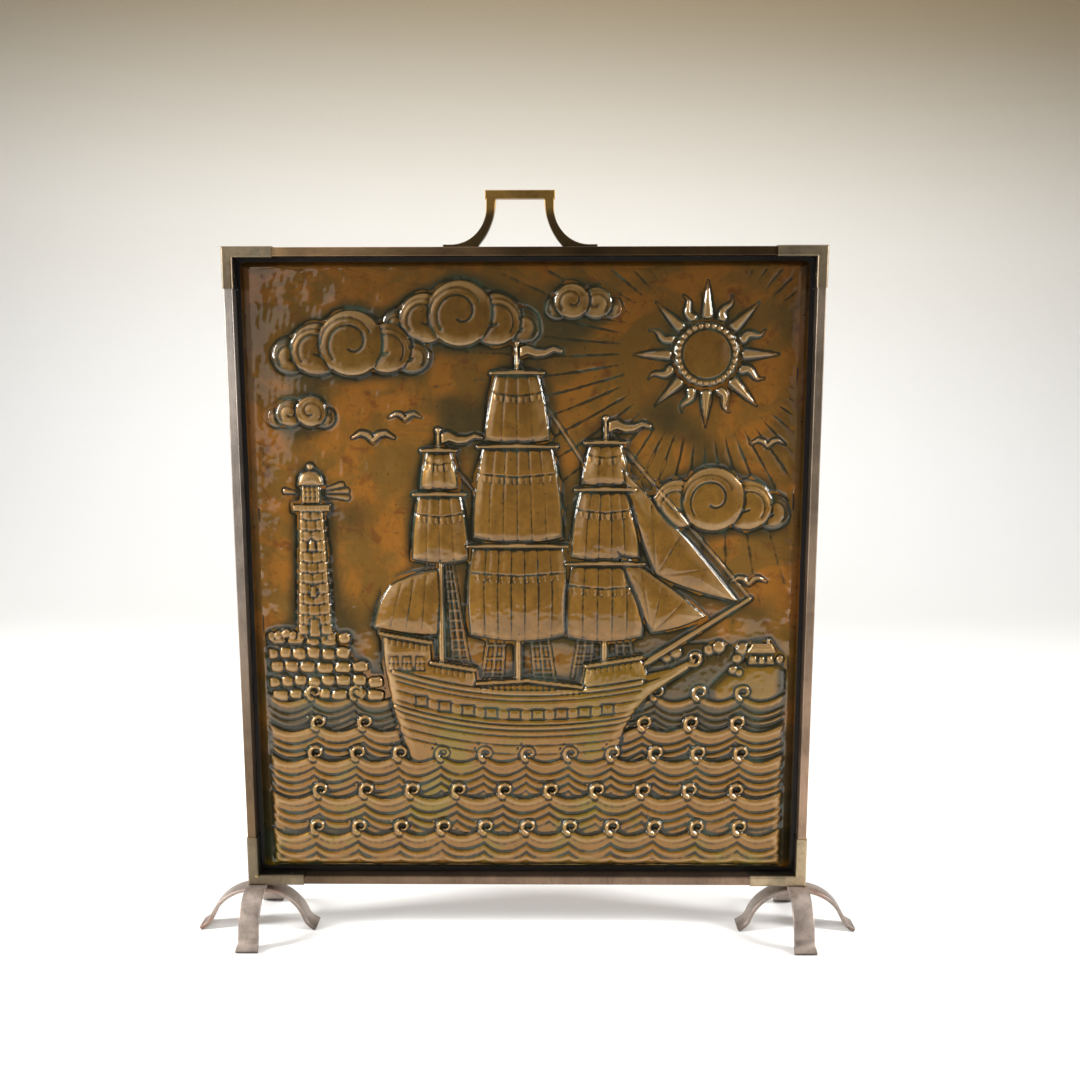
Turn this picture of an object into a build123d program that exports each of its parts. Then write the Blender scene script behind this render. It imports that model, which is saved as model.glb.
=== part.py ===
from build123d import *
import math
import os

# Fire guard: an embossed copper panel in a metal-cased frame that stands on two crossed-strap feet.
# Millimetres. +X points right, the front faces -Y, +Z points up.
# The origin is on the floor, under the middle of the frame's width and depth.

# Frame bars, folded from sheet into a closed section
frame_width = 610.0
frame_height = 683.0
bar_face = 9.0
bar_depth = 22.0
bar_wall = 1.5
bar_edge_radius = 1.2

# Corner sleeves, thin sheet wrapped round the mitred corners
sleeve_sheet = 1.0
sleeve_clearance = 0.1
bottom_sleeve_rise = 53.0
bottom_sleeve_run = 60.0
top_sleeve_drop = 41.0
top_sleeve_run = 50.0

# Pins through the inner faces of the sleeves
pin_radius = 0.8
pin_head_radius = 1.7
pin_head_height = 0.9
pin_from_sleeve_end = 13.0
pin_from_front = 6.7
pin_point = 1.0
pin_clearance = 0.05

# Feet, each of two arched straps that cross under a corner of the frame
strap_width = 22.0
strap_thickness = 4.0
strap_edge = 0.8
arch_clear_height = 44.8
foot_reach = 65.0
foot_inset = 7.7
crossing_clearance = 0.5
toe_length = 12.0
toe_slope = 32.0
toe_thickness = 5.5
toe_width = 24.0
toe_wear = 1.1

# Rivet of each foot
foot_rivet_radius = 2.5
foot_rivet_head_radius = 4.5
foot_rivet_head_height = 2.2
foot_rivet_tail_radius = 3.6
foot_rivet_tail_height = 1.6

# Carrying handle, its centre a little left of the frame's middle
handle_shift = -4.0
handle_depth = 12.0
handle_height = 55.6
grip_length = 70.4
grip_height = 8.5
handle_waist = 68.2
sweep_radius = 36.0
handle_span = 156.0
lip_thickness = 2.5
grip_opening = 49.0
base_opening = 87.2
opening_corner_radius = 1.5
handle_edge = 0.6

# Rivets of the handle
handle_rivet_radius = 1.6
handle_rivet_head_radius = 2.8
handle_rivet_head_depth = 1.2
handle_rivet_tail_radius = 2.6
handle_rivet_tail_height = 1.2
handle_rivet_from_end = 5.0

# Embossed panel, a shallow tray of copper sheet with its edges turned in behind the core board
panel_recess = 10.0
panel_depth = 8.0
panel_gap = 4.4
side_slope = 10.8
end_slope = 4.2
copper_sheet = 1.0
panel_corner_radius = 5.0
panel_edge_radius = 1.6
return_width = 9.0
core_clearance = 0.2

# Tacks through the turned edges
tack_radius = 0.7
tack_head_radius = 1.5
tack_head_depth = 0.7
tack_length = 5.0
tacks_across = 5
tacks_up = 6

# Backing board, its clips and its screws
backing_clearance = 0.5
clip_length = 24.0
clip_width = 12.0
clip_thickness = 1.2
clip_corner = 2.0
clip_hole_spacing = 16.0
clip_from_corner = 110.0
clip_screw_radius = 1.4
clip_screw_head_radius = 2.8
clip_screw_head_height = 1.4
clip_screw_reach = 3.5
core_screw_radius = 1.6
core_screw_head_radius = 3.2
core_screw_head_depth = 1.8
core_screw_length = 8.0
core_screw_from_edge = 70.0
fastener_clearance = 0.1

# Embossing: heights over the copper's field
relief_edge = 1.0
sail_bulge = 5.6
hull_bulge = 6.6
land_bulge = 4.6
cloud_bulge = 3.4
sun_bulge = 4.0
ray_height = 1.6
mast_foot_radius = 3.4
mast_top_radius = 1.8
yard_radius = 2.2
pennant_height = 1.6
farthest_wave_height = 1.4
wave_height_step = 0.8

# Embossing: places, up from the field's lower edge and sideways from its middle or its sides
relief_margin = 4.0
ship_x = 6.0
keel_level = 112.0
wave_levels = (198.0, 164.0, 130.0, 88.0, 46.0)
wave_pitch = 46.0
wave_dip = 9.0
sun_radius = 34.0
sun_from_side = 94.0
sun_from_top = 90.0
ray_count = 16
ray_start = 42.0
ray_end = 74.0
ray_root = 7.0
pennant_length = 44.0
pennant_width = 14.0
yard_overhang = 4.0
tower_from_side = 56.0
land_level = 262.0
tower_height = 136.0
tower_foot_half = 19.0
tower_head_half = 13.0
gallery_half = 17.0
gallery_height = 6.0
lantern_half = 9.0
lantern_height = 19.0

# Levels and faces that follow from the sizes above
skin = sleeve_sheet + sleeve_clearance
lower_crest = arch_clear_height + strap_thickness
upper_crest = lower_crest + strap_thickness
frame_bottom = upper_crest + skin
frame_top = frame_bottom + frame_height
frame_middle = (frame_bottom + frame_top) / 2
half_width = frame_width / 2
half_depth = bar_depth / 2
foot_x = half_width - foot_inset
panel_front = panel_recess - half_depth
panel_back = panel_front + panel_depth
base_width = frame_width - 2 * (bar_face + panel_gap)
base_height = frame_height - 2 * (bar_face + panel_gap)
field_width = base_width - 2 * side_slope
field_height = base_height - 2 * end_slope
field_bottom = frame_middle - field_height / 2
upright = Plane.XZ


def at_depth(y):
    """Upright plane at depth y, its local axes along +X and +Z, its normal towards the front."""
    return upright.offset(-y)


def save(part, name):
    """Labels a finished piece and writes it under its own name."""
    part.label = name
    export_step(part, f"parts/{name}.step")


def fastener(radius, length, head_radius, head_height, tail_radius=0.0, tail_height=0.0):
    """Fastener along Z with its head's seat at z=0 and its shank below.

    The head is a dome over the seat, or a flush cone under it where its height is negative.
    The tail is a dome under the shank.
    """
    with BuildPart() as body:
        with BuildSketch(upright):
            with BuildLine():
                Line((0, -length - tail_height), (0, max(head_height, 0)))
                if head_height > 0:
                    TangentArc((0, head_height), (head_radius, 0), tangent=(1, 0))
                else:
                    Line((0, 0), (head_radius, 0))
                Polyline(
                    (head_radius, 0),
                    (radius, min(head_height, 0)),
                    (radius, -length),
                    (tail_radius, -length),
                )
                if tail_height:
                    TangentArc((0, -length - tail_height), (tail_radius, -length), tangent=(1, 0))
            make_face()
        revolve(axis=Axis.Z)
    return body.part


os.makedirs("parts", exist_ok=True)

# Places of the fasteners, each a plane on the face that its head sits on
corners = {
    "top_left": (-1, 1, frame_top, top_sleeve_run, top_sleeve_drop),
    "top_right": (1, 1, frame_top, top_sleeve_run, top_sleeve_drop),
    "bottom_left": (-1, -1, frame_bottom, bottom_sleeve_run, bottom_sleeve_rise),
    "bottom_right": (1, -1, frame_bottom, bottom_sleeve_run, bottom_sleeve_rise),
}
pin_y = pin_from_front - half_depth
pin_seats = []
for side, end, level, run, rise in corners.values():
    stile_pin = (side * (half_width - bar_face - skin), pin_y, level - end * (rise - pin_from_sleeve_end))
    rail_pin = (side * (half_width - run + pin_from_sleeve_end), pin_y, level - end * (bar_face + skin))
    pin_seats.append(Plane(origin=stile_pin, z_dir=(-side, 0, 0)))
    pin_seats.append(Plane(origin=rail_pin, z_dir=(0, 0, -end)))

clip_seats = []
for side in (-1, 1):
    for level in (frame_bottom + clip_from_corner, frame_middle, frame_top - clip_from_corner):
        edge = (side * (half_width - bar_face), half_depth, level)
        clip_seats.append(Plane(origin=edge, x_dir=(side, 0, 0), z_dir=(0, 1, 0)))
for end, level in ((-1, frame_bottom + bar_face), (1, frame_top - bar_face)):
    clip_seats.append(Plane(origin=(0, half_depth, level), x_dir=(0, 0, end), z_dir=(0, 1, 0)))
clip_holes = ((bar_face / 2, 0), (bar_face / 2 - clip_hole_spacing, 0))

core_screw_seats = []
for x in (core_screw_from_edge - field_width / 2, field_width / 2 - core_screw_from_edge):
    for rise in (core_screw_from_edge - field_height / 2, 0, field_height / 2 - core_screw_from_edge):
        core_screw_seats.append(Plane(origin=(x, half_depth, frame_middle + rise), z_dir=(0, 1, 0)))

return_middle = return_width / 2
tack_seats = []
for index in range(tacks_across):
    x = (index - (tacks_across - 1) / 2) * (base_width / tacks_across)
    for end in (-1, 1):
        z = frame_middle + end * (base_height / 2 - return_middle)
        tack_seats.append(Plane(origin=(x, panel_back, z), z_dir=(0, 1, 0)))
for index in range(tacks_up):
    z = frame_middle + (index - (tacks_up - 1) / 2) * (base_height / tacks_up)
    for side in (-1, 1):
        x = side * (base_width / 2 - return_middle)
        tack_seats.append(Plane(origin=(x, panel_back, z), z_dir=(0, 1, 0)))

handle_rivet_x = handle_span / 2 - handle_rivet_from_end
handle_rivet_seats = []
for side in (-1, 1):
    seat = (handle_shift + side * handle_rivet_x, 0, frame_top + lip_thickness)
    handle_rivet_seats.append(Plane(origin=seat, z_dir=(0, 0, 1)))
foot_rivet_seats = {
    "left": Plane(origin=(-foot_x, 0, arch_clear_height), z_dir=(0, 0, -1)),
    "right": Plane(origin=(foot_x, 0, arch_clear_height), z_dir=(0, 0, -1)),
}
foot_rivet_grip = frame_bottom + bar_wall - arch_clear_height

# Rails and stiles
# Each bar is a closed section, mitred on the lines from the outer to the inner corners of the frame.
level_section = Plane.YX.offset(-frame_middle)
bars = {
    "top_rail": (Plane.YZ, (0, frame_top - bar_face / 2), "top_left", "top_right"),
    "bottom_rail": (Plane.YZ, (0, frame_bottom + bar_face / 2), "bottom_left", "bottom_right"),
    "left_stile": (level_section, (0, bar_face / 2 - half_width), "top_left", "bottom_left"),
    "right_stile": (level_section, (0, half_width - bar_face / 2), "top_right", "bottom_right"),
}
for name, (section_plane, middle, first_end, second_end) in bars.items():
    is_rail = section_plane == Plane.YZ
    length = frame_width if is_rail else frame_height
    with BuildPart() as bar:
        with BuildSketch(section_plane):
            with Locations(middle):
                RectangleRounded(bar_depth, bar_face, bar_edge_radius)
                Rectangle(bar_depth - 2 * bar_wall, bar_face - 2 * bar_wall, mode=Mode.SUBTRACT)
        extrude(amount=length / 2, both=True)
        for corner in (first_end, second_end):
            side, end, level, run, rise = corners[corner]
            mitre = Plane(origin=(side * half_width, 0, level), z_dir=(side, 0, -end))
            split(bisect_by=mitre, keep=Keep.BOTTOM if is_rail else Keep.TOP)
        with Locations(*pin_seats):
            Hole(pin_radius + pin_clearance, depth=skin + bar_wall + pin_point)
        with Locations(*clip_seats):
            with Locations(clip_holes[0]):
                Hole(clip_screw_radius + fastener_clearance, depth=clip_screw_reach)
        if name == "bottom_rail":
            with Locations(*foot_rivet_seats.values()):
                Hole(foot_rivet_radius + fastener_clearance, depth=foot_rivet_grip)
        if name == "top_rail":
            with Locations(*handle_rivet_seats):
                Hole(handle_rivet_radius + fastener_clearance, depth=lip_thickness + bar_wall)
    save(bar.part, name)


# Corner sleeves
def corner_block(side, end, level, run, rise, thickness, edge_radius):
    """Solid round one corner of the frame that stands out from it by the given thickness."""
    inner = bar_face + thickness
    outer_edge = ((inner, rise), (-thickness, rise), (-thickness, -thickness), (run, -thickness))
    outline = (*outer_edge, (run, inner), (inner, inner))
    with BuildPart() as block:
        with BuildSketch(upright):
            with BuildLine():
                Polyline(*[(side * (half_width - a), level - end * b) for a, b in outline], close=True)
            make_face()
        extrude(amount=half_depth + thickness, both=True)
        if edge_radius:
            outlines = block.edges().group_by(Axis.Y)
            fillet(outlines[0] + outlines[-1], edge_radius)
    return block.part


for name, (side, end, level, run, rise) in corners.items():
    overrun = 4 * bar_face
    outer_radius = bar_edge_radius + skin
    inner_radius = bar_edge_radius + sleeve_clearance
    with BuildPart() as corner_sleeve:
        add(corner_block(side, end, level, run + overrun, rise + overrun, skin, outer_radius))
        with BuildSketch(upright):
            with Locations((side * (half_width + (skin - run) / 2), level + end * (skin - rise) / 2)):
                Rectangle(run + skin, rise + skin)
        extrude(amount=bar_depth, both=True, mode=Mode.INTERSECT)
        overrun = 2 * overrun
        add(
            corner_block(side, end, level, run + overrun, rise + overrun, sleeve_clearance, inner_radius),
            mode=Mode.SUBTRACT,
        )
        with Locations(*pin_seats):
            Hole(pin_radius + pin_clearance, depth=skin + bar_wall)
        with Locations(*foot_rivet_seats.values()):
            Hole(foot_rivet_radius + fastener_clearance, depth=foot_rivet_grip)
    save(corner_sleeve.part, f"corner_sleeve_{name}")

with BuildPart() as sleeve_pins:
    with Locations(*pin_seats):
        add(fastener(pin_radius, skin + bar_wall + pin_point, pin_head_radius, pin_head_height))
save(sleeve_pins.part, "sleeve_pins")

# Feet
# The outer face of a strap runs flat over its seat, round one arc and down a straight toe.
toe_run = toe_length * math.cos(math.radians(toe_slope))
toe_drop = toe_length * math.sin(math.radians(toe_slope))
toe_end = (foot_reach, toe_thickness * math.cos(math.radians(toe_slope)) - toe_wear)
toe_tip = (foot_reach - toe_thickness * math.sin(math.radians(toe_slope)), -toe_wear)
kink = (toe_end[0] - toe_run, toe_end[1] + toe_drop)
straps = {
    "cross_strap": ((1, 0, 0), (0, -1, 0), lower_crest, foot_rivet_head_radius),
    "long_strap": ((0, 1, 0), (1, 0, 0), upper_crest, strap_width / 2 + crossing_clearance),
}
for foot, rivet_seat in foot_rivet_seats.items():
    for name, (along, across, crest, flat) in straps.items():
        foot_middle = (rivet_seat.origin.X, 0, 0)
        drop = crest - kink[1]
        run = kink[0] - flat
        arc_radius = (run**2 + drop**2) / (2 * drop)
        inward = strap_thickness / arc_radius
        kink_inside = (
            kink[0] - inward * run,
            kink[1] - inward * (arc_radius - drop),
        )
        with BuildPart() as strap:
            with BuildSketch(Plane(origin=foot_middle, x_dir=along, z_dir=across)):
                with BuildLine():
                    Line((0, crest), (flat, crest))
                    TangentArc((flat, crest), kink, tangent=(1, 0))
                    Polyline(kink, toe_end, toe_tip, kink_inside)
                    TangentArc((flat, crest - strap_thickness), kink_inside, tangent=(1, 0))
                    Line((flat, crest - strap_thickness), (0, crest - strap_thickness))
                    mirror(about=Plane.YZ)
                make_face()
            extrude(amount=toe_width, both=True)
            with BuildSketch(Plane(origin=foot_middle, x_dir=along, z_dir=(0, 0, 1))):
                Rectangle(2 * kink[0], strap_width)
                with BuildLine():
                    Polyline(
                        (kink[0], -strap_width / 2),
                        (foot_reach, -toe_width / 2),
                        (foot_reach, toe_width / 2),
                        (kink[0], strap_width / 2),
                        close=True,
                    )
                make_face()
                mirror(about=Plane.YZ)
            extrude(amount=crest, mode=Mode.INTERSECT)
            upper_faces = strap.faces().filter_by(lambda face: face.normal_at().Z > 0.1)
            sideways = Vector(across)
            long_edges = upper_faces.edges().filter_by(lambda edge: abs((edge % 0.5).dot(sideways)) < 0.5)
            fillet(long_edges, strap_edge)
            with Locations(rivet_seat):
                Hole(foot_rivet_radius + fastener_clearance, depth=foot_rivet_grip)
        save(strap.part, f"{foot}_foot_{name}")
    with BuildPart() as foot_rivet:
        with Locations(rivet_seat):
            add(
                fastener(
                    foot_rivet_radius,
                    foot_rivet_grip,
                    foot_rivet_head_radius,
                    foot_rivet_head_height,
                    foot_rivet_tail_radius,
                    foot_rivet_tail_height,
                )
            )
    save(foot_rivet.part, f"{foot}_foot_rivet")

# Carrying handle
# One half of the outline is drawn and mirrored: grip, swept leg, thin lip on the rail.
with BuildPart() as carrying_handle:
    with BuildSketch(Plane(origin=(handle_shift, 0, frame_top), x_dir=(1, 0, 0), z_dir=(0, -1, 0))):
        grip_underside = handle_height - grip_height
        sweep_end = handle_waist / 2 + sweep_radius
        with BuildLine():
            Polyline(
                (0, handle_height),
                (grip_length / 2, handle_height),
                (grip_length / 2, grip_underside),
                (handle_waist / 2, grip_underside),
                (handle_waist / 2, lip_thickness + sweep_radius),
            )
            TangentArc(
                (handle_waist / 2, lip_thickness + sweep_radius),
                (sweep_end, lip_thickness),
                tangent=(0, -1),
            )
            Polyline(
                (sweep_end, lip_thickness),
                (handle_span / 2, lip_thickness),
                (handle_span / 2, 0),
                (base_opening / 2, 0),
            )
            TangentArc((grip_opening / 2, grip_underside), (base_opening / 2, 0), tangent=(0, -1))
            Line((grip_opening / 2, grip_underside), (0, grip_underside))
            mirror(about=Plane.YZ)
        outline = make_face()
        opening_corners = outline.vertices().filter_by(lambda corner: abs(corner.X) < handle_waist / 2 - 1)
        opening_corners = opening_corners.group_by(Axis.Y)[-1]
        fillet(opening_corners, opening_corner_radius)
    extrude(amount=handle_depth / 2, both=True)
    outlines = carrying_handle.edges().group_by(Axis.Y)
    chamfer(outlines[0] + outlines[-1], handle_edge)
    with Locations(*handle_rivet_seats):
        add(
            fastener(
                handle_rivet_radius + fastener_clearance,
                lip_thickness,
                handle_rivet_head_radius + fastener_clearance,
                -handle_rivet_head_depth,
            ),
            mode=Mode.SUBTRACT,
        )
save(carrying_handle.part, "carrying_handle")

with BuildPart() as handle_rivets:
    with Locations(*handle_rivet_seats):
        add(
            fastener(
                handle_rivet_radius,
                lip_thickness + bar_wall,
                handle_rivet_head_radius,
                -handle_rivet_head_depth,
                handle_rivet_tail_radius,
                handle_rivet_tail_height,
            )
        )
save(handle_rivets.part, "handle_rivets")


# Copper panel and core board
def tray_section(depth_from_front, inset):
    """Rounded rectangle of the tray's outline at one depth, drawn smaller by the inset all round."""
    share = depth_from_front / panel_depth
    with BuildSketch(at_depth(panel_front + depth_from_front)) as section:
        with Locations((0, frame_middle)):
            RectangleRounded(
                field_width + 2 * (side_slope * share - inset),
                field_height + 2 * (end_slope * share - inset),
                panel_corner_radius,
            )
    return section.sketch


wall_inset = copper_sheet * math.hypot(side_slope, panel_depth) / panel_depth
with BuildPart() as core_board:
    add(tray_section(copper_sheet + core_clearance, wall_inset + core_clearance))
    add(tray_section(panel_depth - copper_sheet - core_clearance, wall_inset + core_clearance))
    loft(ruled=True)
    with Locations(*tack_seats):
        Hole(tack_radius + pin_clearance, depth=tack_length)
    with Locations(*core_screw_seats):
        Hole(core_screw_radius + fastener_clearance, depth=core_screw_length)
save(core_board.part, "core_board")

# Embossing
# Each form is a solid on the copper's field. The outlines are drawn up and across from the middle
# of the field's lower edge.
root = copper_sheet / 2
field_origin = (0, panel_front + root, field_bottom)
field_plane = Plane(origin=field_origin, x_dir=(1, 0, 0), z_dir=(0, -1, 0))
forms = []


def raised(outline, height):
    """Adds a form with a flat front at the given height over the field."""
    with BuildPart() as form:
        with BuildSketch(field_plane):
            add(outline)
        extrude(amount=root + height)
    forms.append(form.part)


def swelled(outline, height, along=False):
    """Adds a form that is highest over the middle of its outline.

    Its front is part of a sphere, or of a cylinder along X where it is to run level along its length.
    """
    box = outline.bounding_box()
    middle = box.center()
    half_size = box.size.Y / 2 if along else math.hypot(box.size.X, box.size.Y) / 2
    swell = height - relief_edge
    front_radius = (half_size**2 + swell**2) / (2 * swell)
    with BuildPart() as form:
        with BuildSketch(field_plane):
            add(outline)
        extrude(amount=root + height)
        with Locations(field_plane):
            with Locations((middle.X, middle.Y, root + height - front_radius)):
                if along:
                    Cylinder(front_radius, 2 * box.size.X, rotation=(0, 90, 0), mode=Mode.INTERSECT)
                else:
                    Sphere(front_radius, mode=Mode.INTERSECT)
    forms.append(form.part)


def dome(x, y, radius, height):
    """Adds a spherical cap of the given radius at the field."""
    ball = (radius**2 + height**2) / (2 * height)
    with BuildPart() as form:
        with BuildSketch(field_plane):
            with Locations((x, y)):
                Circle(radius)
        extrude(amount=root + height)
        with Locations(field_plane):
            with Locations((x, y, root + height - ball)):
                Sphere(ball, mode=Mode.INTERSECT)
    forms.append(form.part)


def spar(start, end, start_radius, end_radius):
    """Adds a half-sunk tapering round bar from start to end."""
    run = Vector(end[0] - start[0], end[1] - start[1], 0)
    bar_plane = Plane(origin=(*start, root), x_dir=run, z_dir=(0, 0, 1))
    axis_plane = Plane(field_plane.location * bar_plane.location)
    with BuildPart() as form:
        with BuildSketch(axis_plane):
            with BuildLine():
                Polyline((0, 0), (0, start_radius), (run.length, end_radius), (run.length, 0), close=True)
            make_face()
        revolve(axis=Axis(axis_plane.origin, axis_plane.x_dir))
        split(bisect_by=field_plane)
    forms.append(form.part)


def polygon(*points):
    """Flat outline through the given points."""
    with BuildSketch() as outline:
        with BuildLine():
            Polyline(*points, close=True)
        make_face()
    return outline.sketch


# Sea, in rows of waves that stand higher towards the viewer
sea_half = field_width / 2 - relief_margin
for row, level in enumerate(wave_levels):
    count = round(2 * sea_half / wave_pitch) - row % 2
    crests = [(-sea_half + 2 * sea_half * index / count, level) for index in range(count + 1)]
    with BuildSketch() as sea:
        with BuildLine():
            for start, end in zip(crests, crests[1:]):
                SagittaArc(start, end, -wave_dip)
            Polyline(crests[-1], (sea_half, relief_margin), (-sea_half, relief_margin), crests[0])
        make_face()
    raised(sea.sketch, farthest_wave_height + row * wave_height_step)


def ship(x, rise):
    """Point given from the ship's middle and its keel."""
    return (ship_x + x, keel_level + rise)


# Ship's hull, stern on the left
with BuildSketch() as hull:
    with BuildLine():
        Polyline(ship(-128, 0), ship(-150, 70), ship(-160, 152), ship(-108, 140), ship(-106, 120))
        Polyline(ship(-106, 120), ship(-60, 112), ship(-58, 96))
        SagittaArc(ship(-58, 96), ship(54, 92), 4)
        Polyline(ship(54, 92), ship(58, 116), ship(118, 126), ship(124, 108), ship(178, 128), ship(128, 84))
        SagittaArc(ship(128, 84), ship(92, 0), -10)
        Line(ship(92, 0), ship(-128, 0))
    make_face()
swelled(hull.sketch, hull_bulge, along=True)

# Masts: place along the ship, foot, top
for x, foot, top in ((-96, 118, 366), (-14, 94, 455), (78, 112, 378)):
    spar(ship(x, foot), ship(x, top), mast_foot_radius, mast_top_radius)
    tip = ship(x + pennant_length, top - pennant_width / 2)
    raised(polygon(ship(x, top), tip, ship(x, top - pennant_width)), pennant_height)
spar(ship(120, 118), ship(232, 190), mast_foot_radius, mast_top_radius)

# Square sails: mast, head, foot, half width at the head and at the foot
square_sails = (
    (-14, 245, 150, 48, 51),
    (-14, 350, 255, 36, 47),
    (-14, 426, 358, 22, 34),
    (78, 226, 148, 36, 40),
    (78, 305, 234, 26, 36),
    (78, 354, 312, 16, 25),
    (-96, 300, 232, 22, 30),
    (-96, 346, 307, 13, 20),
)
for x, head, foot, head_half, foot_half in square_sails:
    with BuildSketch() as sail:
        with BuildLine():
            Line(ship(x - head_half, head), ship(x + head_half, head))
            SagittaArc(ship(x + head_half, head), ship(x + foot_half, foot), head_half / 12)
            SagittaArc(ship(x + foot_half, foot), ship(x - foot_half, foot), foot_half / 8)
            SagittaArc(ship(x - foot_half, foot), ship(x - head_half, head), head_half / 12)
        make_face()
    swelled(sail.sketch, sail_bulge)
    yard_half = head_half + yard_overhang
    spar(ship(x - yard_half, head + 1), ship(x + yard_half, head + 1), yard_radius, yard_radius)
for points in (
    (ship(-98, 222), ship(-150, 205), ship(-168, 158), ship(-100, 150)),
    (ship(220, 186), ship(94, 330), ship(132, 214)),
    (ship(186, 170), ship(92, 240), ship(128, 152)),
):
    swelled(polygon(*points), sail_bulge)

# Headland with a lighthouse at the left side
land_x = -sea_half
tower_x = tower_from_side - field_width / 2
swelled(
    polygon(
        (land_x, wave_levels[0] - wave_dip),
        (land_x, land_level),
        (tower_x + 28, land_level),
        (tower_x + 52, land_level - 46),
        (tower_x + 74, wave_levels[0] - wave_dip),
    ),
    land_bulge,
)
tower_top = land_level + tower_height
gallery_top = tower_top + gallery_height
lantern_top = gallery_top + lantern_height


def tower_stage(half_foot, half_head, foot, head):
    """Outline of one stage of the tower between two levels."""
    left, right = (tower_x - half_foot, foot), (tower_x + half_foot, foot)
    return polygon(left, right, (tower_x + half_head, head), (tower_x - half_head, head))


swelled(tower_stage(tower_foot_half, tower_head_half, land_level, tower_top), land_bulge)
raised(tower_stage(gallery_half, gallery_half, tower_top, gallery_top), land_bulge)
raised(tower_stage(lantern_half, lantern_half, gallery_top, lantern_top), relief_edge + ray_height)
dome(tower_x, lantern_top, tower_head_half, land_bulge)

# Sun with its rays, and clouds as overlapping domes
sun_x = field_width / 2 - sun_from_side
sun_level = field_height - sun_from_top
dome(sun_x, sun_level, sun_radius, sun_bulge)
with BuildSketch() as rays:
    with Locations((sun_x, sun_level)):
        with PolarLocations(0, ray_count):
            Polygon((ray_start, -ray_root / 2), (ray_end, 0), (ray_start, ray_root / 2), align=None)
raised(rays.sketch, ray_height)
cloud_lobes = ((0, 0, 34), (36, -5, 26), (-36, -6, 27), (62, -13, 18), (-63, -13, 19))
for x, y in ((-178, field_height - 78), (-66, field_height - 48), (196, 408)):
    for across, up, radius in cloud_lobes:
        dome(x + across, y + up, radius, cloud_bulge * radius / cloud_lobes[0][2])

with BuildPart() as tray_cavity:
    add(tray_section(copper_sheet, wall_inset))
    add(tray_section(panel_depth - copper_sheet, wall_inset))
    loft(ruled=True)

with BuildPart() as relief_panel:
    add(tray_section(0, 0))
    add(tray_section(panel_depth, 0))
    loft(ruled=True)
    fillet(relief_panel.faces().sort_by(Axis.Y)[0].edges(), panel_edge_radius)
    add(tray_cavity.part, mode=Mode.SUBTRACT)
    with BuildSketch(at_depth(panel_back)):
        with Locations((0, frame_middle)):
            Rectangle(base_width - 2 * return_width, base_height - 2 * return_width)
    extrude(amount=panel_depth / 2, mode=Mode.SUBTRACT)
    for form in forms:
        add(form)
    with Locations(*tack_seats):
        add(
            fastener(
                tack_radius + pin_clearance,
                tack_length,
                tack_head_radius + pin_clearance,
                -tack_head_depth,
            ),
            mode=Mode.SUBTRACT,
        )
save(relief_panel.part, "relief_panel")

with BuildPart() as panel_tacks:
    with Locations(*tack_seats):
        add(fastener(tack_radius, tack_length, tack_head_radius, -tack_head_depth))
save(panel_tacks.part, "panel_tacks")

# Backing board, level with the back of the frame and notched round the sleeves
with BuildPart() as backing_board:
    with BuildSketch(at_depth(half_depth)):
        with Locations((0, frame_middle)):
            Rectangle(
                frame_width - 2 * (bar_face + backing_clearance),
                frame_height - 2 * (bar_face + backing_clearance),
            )
    extrude(amount=half_depth - panel_back)
    for side, end, level, run, rise in corners.values():
        notch = skin + backing_clearance
        add(
            corner_block(side, end, level, run + backing_clearance, rise + backing_clearance, notch, 0),
            mode=Mode.SUBTRACT,
        )
    with Locations(*core_screw_seats):
        add(
            fastener(
                core_screw_radius + fastener_clearance,
                core_screw_length,
                core_screw_head_radius + fastener_clearance,
                -core_screw_head_depth,
            ),
            mode=Mode.SUBTRACT,
        )
    with Locations(*clip_seats):
        with Locations(clip_holes[1]):
            Hole(clip_screw_radius + fastener_clearance, depth=clip_screw_reach)
save(backing_board.part, "backing_board")

with BuildPart() as backing_screws:
    with Locations(*core_screw_seats):
        add(fastener(core_screw_radius, core_screw_length, core_screw_head_radius, -core_screw_head_depth))
save(backing_screws.part, "backing_screws")

with BuildPart() as board_clips:
    with BuildSketch(*clip_seats):
        with Locations(((clip_holes[0][0] + clip_holes[1][0]) / 2, 0)):
            RectangleRounded(clip_length, clip_width, clip_corner)
        with Locations(*clip_holes):
            Circle(clip_screw_radius + fastener_clearance, mode=Mode.SUBTRACT)
    extrude(amount=clip_thickness)
save(board_clips.part, "board_clips")

with BuildPart() as clip_screws:
    with Locations(*clip_seats):
        with Locations(*[(x, y, clip_thickness) for x, y in clip_holes]):
            add(
                fastener(
                    clip_screw_radius,
                    clip_thickness + clip_screw_reach - fastener_clearance,
                    clip_screw_head_radius,
                    clip_screw_head_height,
                )
            )
save(clip_screws.part, "clip_screws")
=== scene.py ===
import math

import bmesh
import bpy
import numpy as np
from mathutils import Matrix, Vector


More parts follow.
